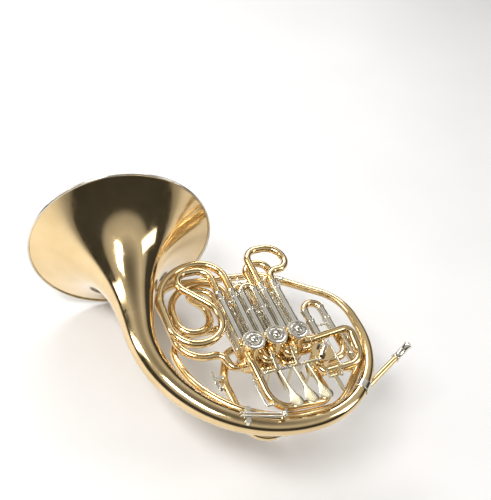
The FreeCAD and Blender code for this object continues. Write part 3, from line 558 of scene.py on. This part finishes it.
def cap_shape(piece, base, out):
    """A screw cap: knurled edge, chased ring sunk between two bright rings, and a domed middle."""
    edge = CASING + 0.3
    rows = [(edge - 1.6, 0), (edge - 0.4, 0), (edge, 0.5), (edge, 3.4), (edge - 0.7, 4.3), (13.6, 4.5)]
    rows += [(12.9, 4.2), (12.5, 3.3), (6.9, 3.3), (6.6, 4.1), (6.2, 5.0)]
    for degrees in range(10, 91, 10):
        angle = math.radians(degrees)
        rows.append((6.2 * math.cos(angle), 4.4 + 3.4 * math.sin(angle)))
    piece.turned(rows, base, out, 72)
    along = Vector(out)
    for i in range(48):
        angle = 2 * math.pi * i / 48
        spoke = Vector((math.cos(angle), math.sin(angle), 0))
        foot = Vector(base) + spoke * (edge + 0.02)
        piece.rod([tuple(foot + along * 0.7), tuple(foot + along * 3.2)], 0.42, 6)
    piece.paint = 1
    ring = [(12.4, 3.25), (12.3, 3.75), (11.9, 3.95), (7.4, 3.95), (7.0, 3.75), (6.95, 3.25)]
    piece.turned(ring, base, out, 72, loop=True)
    for i in range(24):
        angle = 2 * math.pi * i / 24
        spoke = Vector((math.cos(angle), math.sin(angle), 0))
        inner = Vector(base) + spoke * 8.0 + along * 3.9
        outer = Vector(base) + spoke * 11.4 + along * 3.9
        piece.rod([tuple(inner), tuple(outer)], 0.36, 6)
    piece.paint = 0


def make_valves():
    for number, x in VALVES.items():
        make_casing_bands("casing_bands_%d" % number, (x, 0, 0), MAIN_HALF)
    make_casing_bands("change_casing_bands", tuple(CHANGE_AT), CHANGE_HALF)
    make_port_sleeves()
    caps = Piece("turned_valve_caps", NICKEL, CHASED)
    for x in VALVES.values():
        cap_shape(caps, Vector((x, 0, MAIN_HALF + 3)), UP)
    cap_shape(caps, CHANGE_AT - UP * (CHANGE_HALF + 3), -UP)
    caps.done(replaces=["valve_caps"])
    knuckles = Piece("port_knuckles", BRASS)
    elbow = 6.7
    for left, right in KNUCKLES:
        for level in (F_LEVEL, B_LEVEL):
            low_x = left + LEG_OFFSET
            high_x = right - LEG_OFFSET
            bottom = -STUB_END - 8.5
            knuckles.pipe([
                (low_x, -STUB_END, level),
                (low_x, bottom, level, elbow),
                (high_x, bottom, level, elbow),
                (high_x, -STUB_END, level),
            ])
    knuckles.done(replaces=["valve_knuckles"])


def make_stop_arm(label, centre, half, side, arm_angle, body, node, crank=False):
    """Hub on a rotor's shaft with its stop arm and screw; the change valve's hub also has a crank."""
    out = UP * side
    base = centre + out * (half + 5.2)
    piece = Piece("string_hub_" + label, NICKEL)
    rows = [(2.5, 0), (HUB - 0.4, 0), (HUB, 0.4), (HUB, 3.6), (HUB - 0.7, 4.2), (HUB - 0.7, 10.6)]
    rows += [(HUB, 11.2), (HUB, 12.2), (HUB - 0.4, 12.6), (2.5, 12.6)]
    piece.turned(rows, base, out, 48, loop=True)
    turn = Matrix.Rotation(math.radians(arm_angle), 3, "Z")
    foot = 0 if side > 0 else -2.2
    low = (base.x + HUB - 1, base.y - 2, base.z + foot)
    piece.slab(low, (base.x + 11, base.y + 2, base.z + foot + 2.2), turn, base)
    if crank:
        turn = Matrix.Rotation(math.radians(CRANK_ANGLE), 3, "Z")
        level = base.z + 12 - 5.2
        low = (base.x + HUB - 1, base.y - 2, level)
        piece.slab(low, (base.x + CRANK + 2, base.y + 2, level + 2.2), turn, base)
        pin = crank_pin()
        tall = LINK_Z - 3.6 - level
        piece.turned([(1.2, 0), (1.2, tall - 0.4), (0.9, tall)], (pin.x, pin.y, level), UP, 20)
    piece.done(body, [node], soften=0.25)
    screw = Piece("hub_screw_" + label, STEEL)
    top = centre + out * (half + 20)
    screw.turned([(3.2, 0), (3.4, 0.3), (3.4, 1.2), (2.9, 1.7), (0.02, 1.8)], top, out, 36)
    screw.done(body)


def crank_pin():
    """Where the change valve's crank pin stands at rest, in plan."""
    turn = math.radians(CRANK_ANGLE)
    return Vector((CHANGE_AT.x + CRANK * math.cos(turn), CHANGE_AT.y + CRANK * math.sin(turn), 0))


def make_linkages():
    """The hubs on all four rotors' shafts, with the string wound round those of the main valves."""
    for number, x in VALVES.items():
        body = "rotor_%d" % number
        node = "stop_arm_%d" % number
        make_stop_arm(str(number), Vector((x, 0, 0)), MAIN_HALF, -1, 180, body, node)
        wrap = Piece("cord_wrap_%d" % number, CORD)
        wrap.wire(helix(Vector((x, 0, BAR_Z + 2.2)), UP, HUB + 0.1, 0.85, 1.25), 0.55, 10)
        wrap.done(body)
    node = "stop_arm_change"
    make_stop_arm("change", CHANGE_AT, CHANGE_HALF, 1, 225, "change_rotor", node, crank=True)


def helix(start, heading, radius, pitch, turns, steps=28):
    along = Vector(heading).normalized()
    side = side_of(along)
    other = along.cross(side)
    points = []
    for i in range(int(turns * steps) + 1):
        angle = 2 * math.pi * i / steps
        around = side * math.cos(angle) + other * math.sin(angle)
        points.append(start + around * radius + along * (pitch * i / steps))
    return points


# ---- slides --------------------------------------------------------------------------------------
def leg_pair(number):
    return VALVES[number] - LEG_OFFSET, VALVES[number] + LEG_OFFSET


def s_crook(pair, level, start, top, left, bottom, right, inner_top, knot_radius, radii):
    """The third valve's crook: a large loop to the left and a small loop folded back inside it."""
    inner_x, outer_x = pair
    slant = (-0.62, 0.785)
    bend_y = bottom + radii[3] + 18
    knot_x = right + slant[0] * (inner_top - bend_y) / slant[1]
    return [
        (outer_x, start, level),
        (outer_x, top, level, radii[0]),
        (left, top, level, radii[1]),
        (left, bottom, level, radii[2]),
        (right, bottom, level, radii[3]),
        (right, bend_y, level, radii[4]),
        (knot_x, inner_top, level, knot_radius),
        (inner_x, inner_top, level, 25),
        (inner_x, start, level),
    ]


def bulb(pair, level, start, top, right, neck, radii):
    near, far = pair
    return [
        (near, start, level),
        (near, top, level, radii[0]),
        (right, top, level, radii[1]),
        (right, neck, level, radii[2]),
        (far, neck, level, radii[3]),
        (far, start, level),
    ]


def bow(start_point, end_point, heading):
    """Corners of a half-round bow between two parallel legs."""
    start = Vector(start_point)
    end = Vector(end_point)
    half = (end - start).length / 2
    out = Vector(heading) * (half + 0.02)
    return [tuple(start), (*(start + out), half - 0.02), (*(end + out), half - 0.02), tuple(end)]


class Slide:
    """A pull slide: fixed outer legs with end rings, inner legs, bow and the sleeves at the bow's ends."""
    outer_legs = None
    end_rings = None

    def __init__(self, node, legs, fixed, inner_start, bow_start, corners, pull=None):
        piece = Piece(node + "_tubing", BRASS, NICKEL)
        piece.pipe(corners)
        if pull:
            centre, radius, tilt = pull
            piece.paint = 1
            piece.torus(radius, 1.0, centre, (math.sin(tilt), 0, math.cos(tilt)), 48, 10)
        piece.paint = 1
        for x, z in legs:
            piece.pipe([(x, inner_start, z), (x, bow_start, z)])
            sleeve = 3.6
            rows = [(TUBE, -sleeve), (TUBE + 0.5, -sleeve + 0.3), (TUBE + 0.5, -0.6), (TUBE + 0.9, 0)]
            rows += [(TUBE + 0.9, 0.9), (TUBE + 0.4, 1.4), (TUBE, 1.6)]
            past_bow = 1.6 if bow_start > fixed[1] + 8 else 4.2
            piece.turned(rows, (x, bow_start + past_bow, z), (0, 1, 0), 40, True)
            Slide.outer_legs.pipe([(x, fixed[0], z), (x, fixed[1], z)], LEG, TUBE + 0.05)
            end = fixed[1]
            rows = [(LEG + 0.03, -4), (LEG + 0.6, -4), (LEG + 0.95, -3.5), (LEG + 0.95, -2.9)]
            rows += [(LEG + 0.6, -2.5), (LEG + 0.6, -1.4), (LEG + 0.95, -1.0), (LEG + 0.95, -0.3)]
            rows += [(LEG + 0.7, 0), (TUBE + 0.06, 0.02), (TUBE + 0.06, -0.5), (LEG + 0.03, -0.5)]
            Slide.end_rings.turned(rows, (x, end, z), (0, 1, 0), 44, True)
        piece.done(node, [node])


def make_slides():
    Slide.outer_legs = Piece("fixed_slide_legs", NICKEL)
    Slide.end_rings = Piece("leg_end_rings", NICKEL)
    inner = STUB_END + 5.0
    pair = leg_pair(3)
    corners = s_crook(pair, F_LEVEL, 112, 186, -148, 28, -64, 172, 21, (42, 78, 41, 42, 50))
    Slide("slide_f3", [(x, F_LEVEL) for x in pair], (STUB_END, 104), inner, 112, corners)
    corners = s_crook(pair, B_LEVEL, 96, 166, -126, 69, -70, 152, 11, (38, 55, 27, 28, 34))
    Slide("slide_b3", [(x, B_LEVEL) for x in pair], (STUB_END, 88), inner, 96, corners)
    pair = leg_pair(2)
    low, high = pair
    for name, level, bow_start in (("slide_f2", F_LEVEL, 108), ("slide_b2", B_LEVEL, 131)):
        corners = bow((low, bow_start, level), (high, bow_start, level), (0, 1, 0))
        pull = (Vector((0, bow_start + LEG_OFFSET + TUBE + 8.4, level)), 9, 0.4)
        Slide(name, [(x, level) for x in pair], (STUB_END, 71), inner, bow_start, corners, pull)
    pair = leg_pair(1)
    corners = bulb(pair, F_LEVEL, 112, 193, 90, 141, (23, 29, 21, 16))
    Slide("slide_f1", [(x, F_LEVEL) for x in pair], (STUB_END, 104), inner, 112, corners)
    corners = bulb(pair, B_LEVEL, 96, 186, 69, 148, (20, 21, 9, 9))
    Slide("slide_b1", [(x, B_LEVEL) for x in pair], (STUB_END, 88), inner, 96, corners)
    low, high = MAIN_SLIDE_X
    z = MAIN_SLIDE_Z
    corners = bow((low, 54, z), (high, 54, z), (0, 1, 0))
    Slide("slide_main", [(x, z) for x in MAIN_SLIDE_X], (4, 34), 8, 54, corners)
    x = B_SLIDE_X
    upper, lower = B_SLIDE_Z
    corners = bow((x, 2, upper), (x, 2, lower), (0, 1, 0))
    Slide("slide_b_tuning", [(x, upper), (x, lower)], (-40, -8), -36, 2, corners)
    Slide.outer_legs.done(replaces=["outer_legs"])
    Slide.end_rings.done(replaces=["slide_end_rings"])


# ---- fixed tubing --------------------------------------------------------------------------------
def extension_corners():
    return [
        (PIPE_JOINT_X, PIPE_Y, PIPE_Z),
        (-84, PIPE_Y, PIPE_Z, 34),
        (-88, -20, PIPE_Z, 40),
        (-60, 36, -36, 22),
        (MAIN_SLIDE_X[0], 36, -36, 12),
        (MAIN_SLIDE_X[0], -13, -36, 12),
        (MAIN_SLIDE_X[0], -13, MAIN_SLIDE_Z, 12),
        (MAIN_SLIDE_X[0], 4, MAIN_SLIDE_Z),
    ]


def make_tubing(branch_end, branch_heading):
    at = CHANGE_AT
    upper = at.z + CHANGE_LEVEL
    lower = at.z - CHANGE_LEVEL
    valve_3_side = VALVES[3] - STUB_END
    valve_1_side = VALVES[1] + STUB_END
    runs = {
        "leadpipe_extension": extension_corners(),
        "second_branch": [
            tuple(branch_end),
            (*(branch_end + branch_heading * 41), 45),
            (-140, 196, -34, 55),
            (-140, 110, -14, 80),
            (-140, 20, -14, 45),
            (-78, 20, -14, 18),
            (-70, -PORT, B_LEVEL, 12),
            (valve_3_side, -PORT, B_LEVEL),
        ],
        "change_inlet": [
            (MAIN_SLIDE_X[1], 4, MAIN_SLIDE_Z),
            (MAIN_SLIDE_X[1], at.y - PORT, upper, 24),
            (at.x + STUB_END, at.y - PORT, upper),
        ],
        "f_feed_tube": [
            (at.x - PORT, at.y - STUB_END, upper),
            (at.x - PORT, at.y - STUB_END - 12, upper, 9),
            (131, at.y - STUB_END - 12, 2, 26),
            (135, -4, 12, 13),
            (valve_1_side + 6, -PORT, F_LEVEL, 30),
            (valve_1_side, -PORT, F_LEVEL),
        ],
        "f_return_tube": [
            (VALVES[3] - LEG_OFFSET, -STUB_END, F_LEVEL),
            (VALVES[3] - LEG_OFFSET, -26, F_LEVEL, 16),
            (-43, -106, 0, 34),
            (at.x - PORT, -106, -16, 24),
            (at.x - PORT, -60, lower, 16),
            (at.x - PORT, at.y - STUB_END, lower),
        ],
        "b_slide_inlet": [
            (at.x + STUB_END, at.y - PORT, lower),
            (at.x + STUB_END + 12, at.y - PORT, lower, 20),
            (B_SLIDE_X, -60, B_SLIDE_Z[1], 12),
            (B_SLIDE_X, -40, B_SLIDE_Z[1]),
        ],
        "b_feed_tube": [
            (B_SLIDE_X, -40, B_SLIDE_Z[0]),
            (B_SLIDE_X, -56, -13, 33),
            (72, -116, -26, 68),
            (-147, -121, 8, 148),
            (-147, 80, -32, 45),
            (68, 80, -34, 12),
            (68, 46, -16, 21),
            (68, -PORT, B_LEVEL, 8),
            (valve_1_side, -PORT, B_LEVEL),
        ],
    }
    for node, corners in runs.items():
        piece = Piece(node + "_drawn", BRASS)
        piece.pipe(corners)
        piece.done(replaces=[node])


def make_mouthpipe():
    start = Vector((209, -60.5, -15))
    small_end = 4.9
    stops = course([tuple(start), (60, PIPE_Y, PIPE_Z, 120), (PIPE_JOINT_X, PIPE_Y, PIPE_Z)], line_step=6)
    along = lengths(stops)
    outer = [small_end + (TUBE - small_end) * s / along[-1] for s in along]
    pipe = Piece("mouthpipe", BRASS)
    rings = circles(stops, outer)
    rings += reversed(circles(stops, [radius - 0.5 for radius in outer]))
    pipe.skin(rings, loop=True)
    pipe.done(replaces=["leadpipe"])
    out = -stops[0][1]
    receiver = Piece("receiver_sleeve", NICKEL)
    rows = [(5.2, -14), (6.6, -14), (7.2, -13.5), (7.2, -12.2), (6.5, -11.4), (6.2, -10.4)]
    rows += [(6.2, 6), (6.45, 6.5), (6.45, 7.6), (6.2, 8.1), (6.2, 20.2), (6.7, 20.8), (7.2, 21.6)]
    rows += [(7.2, 23.3), (6.8, 24)]
    rows += [(RECEIVER_BORE, 24), (RECEIVER_BORE, 2), (5.2, 2)]
    receiver.turned(rows, start, out, 64, loop=True)
    receiver.done(replaces=["mouthpiece_receiver"])


# ---- levers --------------------------------------------------------------------------------------
def paddle(piece, centre_x, slope):
    """A finger lever: narrow arm widening to a crowned teardrop paddle with a rounded end."""
    outline = [(2.9, -3), (2.6, -12), (2.5, -22), (2.8, -34), (3.5, -42), (4.8, -48), (6.8, -53), (9.0, -59)]
    outline += [(10.2, -63), (10.3, -66.5), (9.5, -69.8), (7.8, -72.4), (5.4, -74.2)]
    outline += [(2.8, -75.1), (0.7, -75.3)]
    turn = Matrix.Rotation(math.radians(-slope), 3, "X")
    about = Vector((centre_x, HINGE_Y, HINGE_Z - 0.9))
    across = 14
    rings = []
    for half, y in outline:
        crown = 0.9 * min(1.0, half / 6.0)
        top = []
        for i in range(across + 1):
            x = -1 + 2 * i / across
            edge = math.sqrt(max(0.0, 1 - abs(x) ** 5))
            top.append(Vector((half * x, y, 1.0 + 0.75 * edge + crown * (1 - x * x) * 0.35)))
        bottom = []
        for i in range(1, across):
            x = 1 - 2 * i / across
            edge = math.sqrt(max(0.0, 1 - abs(x) ** 5))
            bottom.append(Vector((half * x, y, 1.0 - 0.75 * edge)))
        rings.append([about + turn @ point for point in top + bottom])
    piece.skin(rings)


def strip(piece, points, half_width, thick):
    """A flat bar with rounded edges through the given points."""
    rings = []
    for i, point in enumerate(points):
        before = points[max(0, i - 1)]
        after = points[min(len(points) - 1, i + 1)]
        heading = (after - before).normalized()
        side = heading.cross(UP)
        side = side.normalized() if side.length > 0.05 else Vector((1, 0, 0))
        normal = side.cross(heading)
        ring = []
        for k in range(16):
            angle = 2 * math.pi * k / 16
            c, s = math.cos(angle), math.sin(angle)
            ring.append(point + side * (half_width * math.copysign(abs(c) ** 0.45, c))
                        + normal * (thick / 2 * math.copysign(abs(s) ** 0.6, s)))
        rings.append(ring)
    piece.skin(rings)


def barrel(piece, start, end, outer, inner):
    """A hinge tube with a turned collar at each end and one in its middle."""
    along = (end - start).normalized()
    length = (end - start).length
    rows = [(inner, 0), (outer - 0.4, 0), (outer, 0.4), (outer, 1.6), (outer - 0.6, 2.0)]
    if length > 12:
        middle = length / 2
        rows += [(outer - 0.6, middle - 1), (outer - 0.1, middle - 0.5), (outer - 0.1, middle + 0.5)]
        rows += [(outer - 0.6, middle + 1)]
    rows += [(outer - 0.6, length - 2.0), (outer, length - 1.6), (outer, length - 0.4)]
    rows += [(outer - 0.4, length), (inner, length)]
    piece.turned(rows, start, along, 36, loop=True)


def make_levers():
    for number, arm_x in LEVER_ARM_X.items():
        body = "lever_%d" % number
        bar_x = VALVES[number] + HUB + 3.6
        low_x = min(arm_x, bar_x) - 4
        high_x = max(arm_x, bar_x, REAR_ARM_X.get(number, arm_x)) + 4
        piece = Piece("finger_lever_%d" % number, LEVER)
        barrel(piece, Vector((low_x, HINGE_Y, HINGE_Z)), Vector((high_x, HINGE_Y, HINGE_Z)), 3.2, 1.55)
        paddle(piece, arm_x, 8.0)
        if number in REAR_ARM_X:
            rise = math.tan(math.radians(12.5))
            foot = Vector((REAR_ARM_X[number], HINGE_Y, HINGE_Z + 3.4))
            strip(piece, [foot + Vector((0, y, y * rise)) for y in (0, 8, 16, 24, 28.5, 30)], 2.5, 1.6)
        piece.slab((bar_x - 1.5, HINGE_Y - 2, BAR_Z - 2), (bar_x + 1.5, HINGE_Y + 2, HINGE_Z - 2.2))
        piece.slab((bar_x - 1.5, HINGE_Y + 1.9, BAR_Z - 2), (bar_x + 1.5, 16, BAR_Z + 2))
        for y in (-12, 13):
            rows = [(1.3, 0), (1.3, 1.0), (1.9, 1.3), (1.9, 2.1), (1.5, 2.6), (0.02, 2.6)]
            piece.turned(rows, (bar_x, y, BAR_Z), (-1, 0, 0), 24)
        piece.done(body, ["lever_%d" % number], soften=0.3)
        cord = Piece("string_%d" % number, CORD)
        x = VALVES[number] + HUB + 0.8
        points = [Vector((x + 0.4, -12.3, BAR_Z + 1.4)), Vector((x, -11, BAR_Z + 2.8))]
        points += [Vector((x, y, BAR_Z + 2.8)) for y in (-7, -3, 1, 5, 9)]
        points += [Vector((x, 11, BAR_Z + 2.8)), Vector((x + 0.4, 13.2, BAR_Z + 1.4))]
        cord.wire(points, 0.6, 10)
        cord.done(body, ["cord_%d" % number])
    make_lever_mount()


def make_lever_mount():
    rods = Piece("lever_hinge_rods", NICKEL)
    rods.rod([(-38.5, HINGE_Y, HINGE_Z), (57, HINGE_Y, HINGE_Z)], 1.5)
    for x in (-38.5, 57):
        rods.ball(2.5, (x, HINGE_Y, HINGE_Z), (1, 0, 0))
    rods.rod([(60, THUMB_HINGE.y, THUMB_HINGE.z), (84, THUMB_HINGE.y, THUMB_HINGE.z)], 1.3)
    rods.done(replaces=["hinge_rods"])
    springs = Piece("lever_return_springs", STEEL)
    for start, end in ((-11.2, -4.0), (-2.6, 4.6), (51.3, 54.4)):
        turns = int((end - start) / 1.5)
        springs.wire(helix(Vector((start + 0.6, HINGE_Y, HINGE_Z)), (1, 0, 0), 2.35, 1.3, turns), 0.5, 10)
    springs.done(replaces=["lever_springs"])


def make_thumb_lever():
    at = THUMB_HINGE
    link_end = crank_pin()
    arm_x = link_end.x - 2.6
    piece = Piece("thumb_paddle", LEVER)
    barrel(piece, Vector((64, at.y, at.z)), Vector((80, at.y, at.z)), 2.8, 1.35)
    piece.slab((arm_x - 1.2, at.y - 2, at.z + 2.4), (arm_x + 1.2, at.y + 2, LINK_Z - 1.1))
    rows = [(0.95, -1.2), (2.4, -1.2), (2.4, 1.2), (0.95, 1.2)]
    piece.turned(rows, (arm_x, at.y, LINK_Z), (1, 0, 0), 24, True)
    points = [Vector((71, at.y - y, at.z + 0.01 * y)) for y in (2.6, 8, 14, 20, 26, 30)]
    strip(piece, points, 4.0, 1.7)
    piece.done("thumb_lever", ["thumb_lever"], soften=0.25)
    link = Piece("thumb_link_rod", NICKEL)
    link_x = arm_x + 2.6
    link.rod([(link_x, at.y, LINK_Z), (link_x, link_end.y, LINK_Z)], 1.1)
    link.rod([(arm_x - 1.5, at.y, LINK_Z), (link_x, at.y, LINK_Z)], 0.85)
    for y in (at.y, link_end.y):
        link.ball(2.0, (link_x, y, LINK_Z))
    link.turned([(1.3, 8), (1.7, 8.4), (1.7, 12), (1.3, 12.4)], (link_x, at.y, LINK_Z), (0, 1, 0), 20)
    link.done("thumb_link", ["thumb_link"])


# ---- small fittings ------------------------------------------------------------------------------
def make_water_key():
    cork_x = -87.0 - TUBE - 3.0 - 2.4
    hole_y = -34.0
    pivot = Vector((cork_x - 1.2, hole_y + 16, PIPE_Z))
    key = Piece("water_key_lever", NICKEL)
    points = [Vector((cork_x - 1.1 - bow_out, hole_y + y, PIPE_Z))
              for y, bow_out in ((-2.6, 0), (4, 0.1), (12, 0.5), (20, 0.5), (27, 0.2), (33.5, 0.0))]
    strip(key, points, 2.6, 1.7)
    cup = [(4.0, 0), (4.2, 0.3), (4.2, 1.5), (3.4, 2.0), (0.02, 2.0)]
    key.turned(cup, (cork_x, hole_y, PIPE_Z), (-1, 0, 0), 36)
    barrel(key, pivot - UP * 5, pivot + UP * 5, 2.6, 1.15)
    key.done("water_key", ["water_key"], soften=0.15)
    cork = Piece("water_key_pad", CORK)
    cork.turned([(3.2, 0), (3.4, 0.25), (3.4, 2.1), (3.3, 2.35)], (cork_x, hole_y, PIPE_Z), (1, 0, 0), 30)
    cork.done("water_key", ["water_key_cork"])
    pin = Piece("water_key_axle", STEEL)
    pin.turned([(0.9, -8.5), (1.1, -8.2), (1.1, 8.2), (0.9, 8.5)], pivot, UP, 20)
    pin.done(replaces=["water_key_pin"])


def make_hook_and_lyre():
    hook = Piece("little_finger_hook", NICKEL)
    hook.rod([(-50.5, -54, 8), (-60, -54, 13, 4), (-59, -104, 15, 3.5), (-48, -104, 15)], 1.7)
    hook.ball(2.4, (-48, -104, 15))
    hook.done(replaces=["pinky_hook"])
    centre = Vector((-92, -111, 18.5))
    arm = Vector((49, -18, 0)).normalized()
    boss = centre + arm * 52 + UP * 4.5
    screw = Piece("lyre_thumb_screw", NICKEL)
    rows = [(1.2, -4), (1.5, -3.7), (1.5, 4.3), (3.0, 4.3), (3.2, 4.7), (3.2, 6.0), (2.2, 6.6), (0.02, 6.7)]
    screw.turned(rows, boss, UP, 32)
    head_radius = 5.4
    turn = math.radians(150)
    flat = Vector((math.cos(turn), math.sin(turn), 0))
    rows = [(3.4, -0.7), (4.2, -1.0), (head_radius - 0.3, -1.0), (head_radius, -0.7), (head_radius, 0.7)]
    rows += [(head_radius - 0.3, 1.0), (4.2, 1.0), (3.4, 0.7)]
    screw.turned(rows, boss + UP * (5.8 + head_radius), flat, 48)
    screw.done("lyre_screw", ["lyre_screw"])


def brace(piece, start, end, tube_radius):
    """A turned stay between two tubes, with a flange at each foot and a ball in its middle."""
    along = (Vector(end) - Vector(start)).normalized()
    length = (Vector(end) - Vector(start)).length - 2 * tube_radius - 0.2
    first = Vector(start) + along * (tube_radius + 0.1)
    half = length / 2
    rows = [(3.2, 0), (3.2, 0.5), (2.4, 1.1), (1.5, 1.7)]
    middle = [(1.5, half - 1.9), (2.0, half - 1.5), (1.7, half - 1.1), (2.6, half), (1.7, half + 1.1)]
    middle += [(2.0, half + 1.5), (1.5, half + 1.9)]
    if half > 3.7:
        rows += middle
    else:
        rows += [(2.4, half)]
    rows += [(1.5, length - 1.7), (2.4, length - 1.1), (3.2, length - 0.5), (3.2, length)]
    piece.turned(rows, first, along, 32)


def make_braces():
    piece = Piece("turned_braces", NICKEL)
    for number, y in ((3, 94), (2, 62), (1, 94)):
        low, high = leg_pair(number)
        for z, place in ((F_LEVEL, y), (B_LEVEL, y - 16)):
            brace(piece, (low, place, z), (high, place, z), LEG)
    low, high = MAIN_SLIDE_X
    brace(piece, (low, 22, MAIN_SLIDE_Z), (high, 22, MAIN_SLIDE_Z), LEG)
    upper, lower = B_SLIDE_Z
    brace(piece, (B_SLIDE_X, -26, upper), (B_SLIDE_X, -26, lower), LEG)
    piece.done(replaces=["braces"])


def dress_cad_nodes():
    """The nodes that keep their CAD shape: inner parts, posts and brackets."""
    keep = {
        BRASS: ["valve_casing_1", "valve_casing_2", "valve_casing_3", "change_valve_casing"],
        NICKEL: ["bearing_plates", "lever_posts", "lyre_holder", "water_key_saddle"],
        ROTOR: ["rotor_1", "rotor_2", "rotor_3", "change_rotor"],
        CORK: ["stop_corks"],
    }
    for material, names in keep.items():
        for name in names:
            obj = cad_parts[name]
            obj.data.materials.clear()
            obj.data.materials.append(material)
            obj.data.set_sharp_from_angle(angle=SHARP)
            for face in obj.data.polygons:
                face.use_smooth = True
                face.material_index = 0


# ---- studio --------------------------------------------------------------------------------------
CAMERA_PLACE = Vector((-459.81, -598.62, 952.925))
CAMERA_AZIMUTH = -31.76
CAMERA_ELEVATION = 45.101
CAMERA_ROLL = 12.816
CAMERA_LENS = 54.96


def floor_material():
    nodes = Nodes("pale_floor")
    shade = nodes.blend(nodes.noise(3.0, 3.0), (0.86, 0.85, 0.84), (0.90, 0.89, 0.88))
    nodes.join(shade, nodes.shader, "Base Color")
    nodes.shader.inputs["Roughness"].default_value = 0.85
    nodes.bump(nodes.noise(900.0, 3.0), 0.05, 0.0005)
    return nodes.material


def area_light(name, place, target, size, power, tint=(1.0, 1.0, 1.0)):
    data = bpy.data.lights.new(name, "AREA")
    data.shape = "RECTANGLE"
    data.size, data.size_y = size
    data.energy = power
    data.color = tint
    light = bpy.data.objects.new(name, data)
    light.location = place
    light.rotation_euler = (Vector(target) - Vector(place)).to_track_quat("-Z", "Y").to_euler()
    bpy.context.scene.collection.objects.link(light)


def make_floor(low):
    mesh = bpy.data.meshes.new("floor")
    reach = 6.0
    level = low.z - 0.001
    corners = [(-reach, -reach, level), (reach, -reach, level), (reach, reach, level), (-reach, reach, level)]
    mesh.from_pydata(corners, [], [(0, 1, 2, 3)])
    mesh.materials.append(floor_material())
    floor = bpy.data.objects.new("floor", mesh)
    bpy.context.scene.collection.objects.link(floor)


def make_lights(low, high):
    middle = (low + high) / 2
    area_light("key", middle + Vector((-0.9, -0.3, 1.6)), middle, (1.0, 0.45), 24)
    area_light("fill", middle + Vector((1.4, -0.9, 1.0)), middle, (0.5, 1.0), 7)
    area_light("back", middle + Vector((0.3, 1.65, 1.3)), middle, (1.6, 0.45), 19)
    area_light("left", middle + Vector((-1.6, 0.7, 0.9)), middle, (0.3, 1.2), 8)


def make_surroundings():
    """Reflections see a bright band above a dark horizon, and the camera sees an even pale backdrop."""
    world = bpy.data.worlds.new("studio")
    world.use_nodes = True
    tree = world.node_tree
    shade = tree.nodes["Background"]
    place = tree.nodes.new("ShaderNodeTexCoord")
    split = tree.nodes.new("ShaderNodeSeparateXYZ")
    ramp = tree.nodes.new("ShaderNodeValToRGB")
    seen = tree.nodes.new("ShaderNodeLightPath")
    choose = tree.nodes.new("ShaderNodeMix")
    choose.data_type = "RGBA"
    tree.links.new(place.outputs["Generated"], split.inputs["Vector"])
    tree.links.new(split.outputs["Z"], ramp.inputs["Fac"])
    tree.links.new(seen.outputs["Is Camera Ray"], choose.inputs["Factor"])
    tree.links.new(ramp.outputs["Color"], choose.inputs[6])
    choose.inputs[7].default_value = (0.80, 0.79, 0.78, 1)
    tree.links.new(choose.outputs[2], shade.inputs["Color"])
    stops = ((0.0, 0.05), (0.44, 0.06), (0.54, 0.42), (0.76, 0.66), (1.0, 0.16))
    ramp.color_ramp.elements[1].position = 1.0
    for position, value in stops[1:-1]:
        ramp.color_ramp.elements.new(position)
    for element, (position, value) in zip(ramp.color_ramp.elements, stops):
        element.position = position
        element.color = (value, value * 0.985, value * 0.96, 1)
    shade.inputs["Strength"].default_value = 1.0
    bpy.context.scene.world = world


def make_studio():
    bpy.context.scene.view_settings.view_transform = "Standard"
    low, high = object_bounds()
    make_floor(low)
    make_lights(low, high)
    make_surroundings()


def make_camera():
    data = bpy.data.cameras.new("camera")
    data.lens = CAMERA_LENS
    data.sensor_width = 36
    data.clip_start = 0.02
    data.clip_end = 50
    camera = bpy.data.objects.new("camera", data)
    azimuth = math.radians(CAMERA_AZIMUTH)
    elevation = math.radians(CAMERA_ELEVATION)
    flat = math.cos(elevation)
    back = Vector((math.sin(azimuth) * flat, -math.cos(azimuth) * flat, math.sin(elevation)))
    upright = (-back).to_track_quat("-Z", "Y").to_matrix()
    turned = Matrix.Rotation(math.radians(CAMERA_ROLL), 3, back) @ upright
    camera.matrix_world = Matrix.Translation(DATUM + CAMERA_PLACE * MM) @ turned.to_4x4()
    bpy.context.scene.collection.objects.link(camera)
    bpy.context.scene.camera = camera


def make_horn():
    make_flare()
    stops, seam = make_tail()
    make_ferrules(stops, seam)
    make_valves()
    make_linkages()
    make_slides()
    make_tubing(*stops[-1])
    make_mouthpipe()
    make_levers()
    make_thumb_lever()
    make_water_key()
    make_hook_and_lyre()
    make_braces()
    dress_cad_nodes()


make_horn()
make_studio()
make_camera()
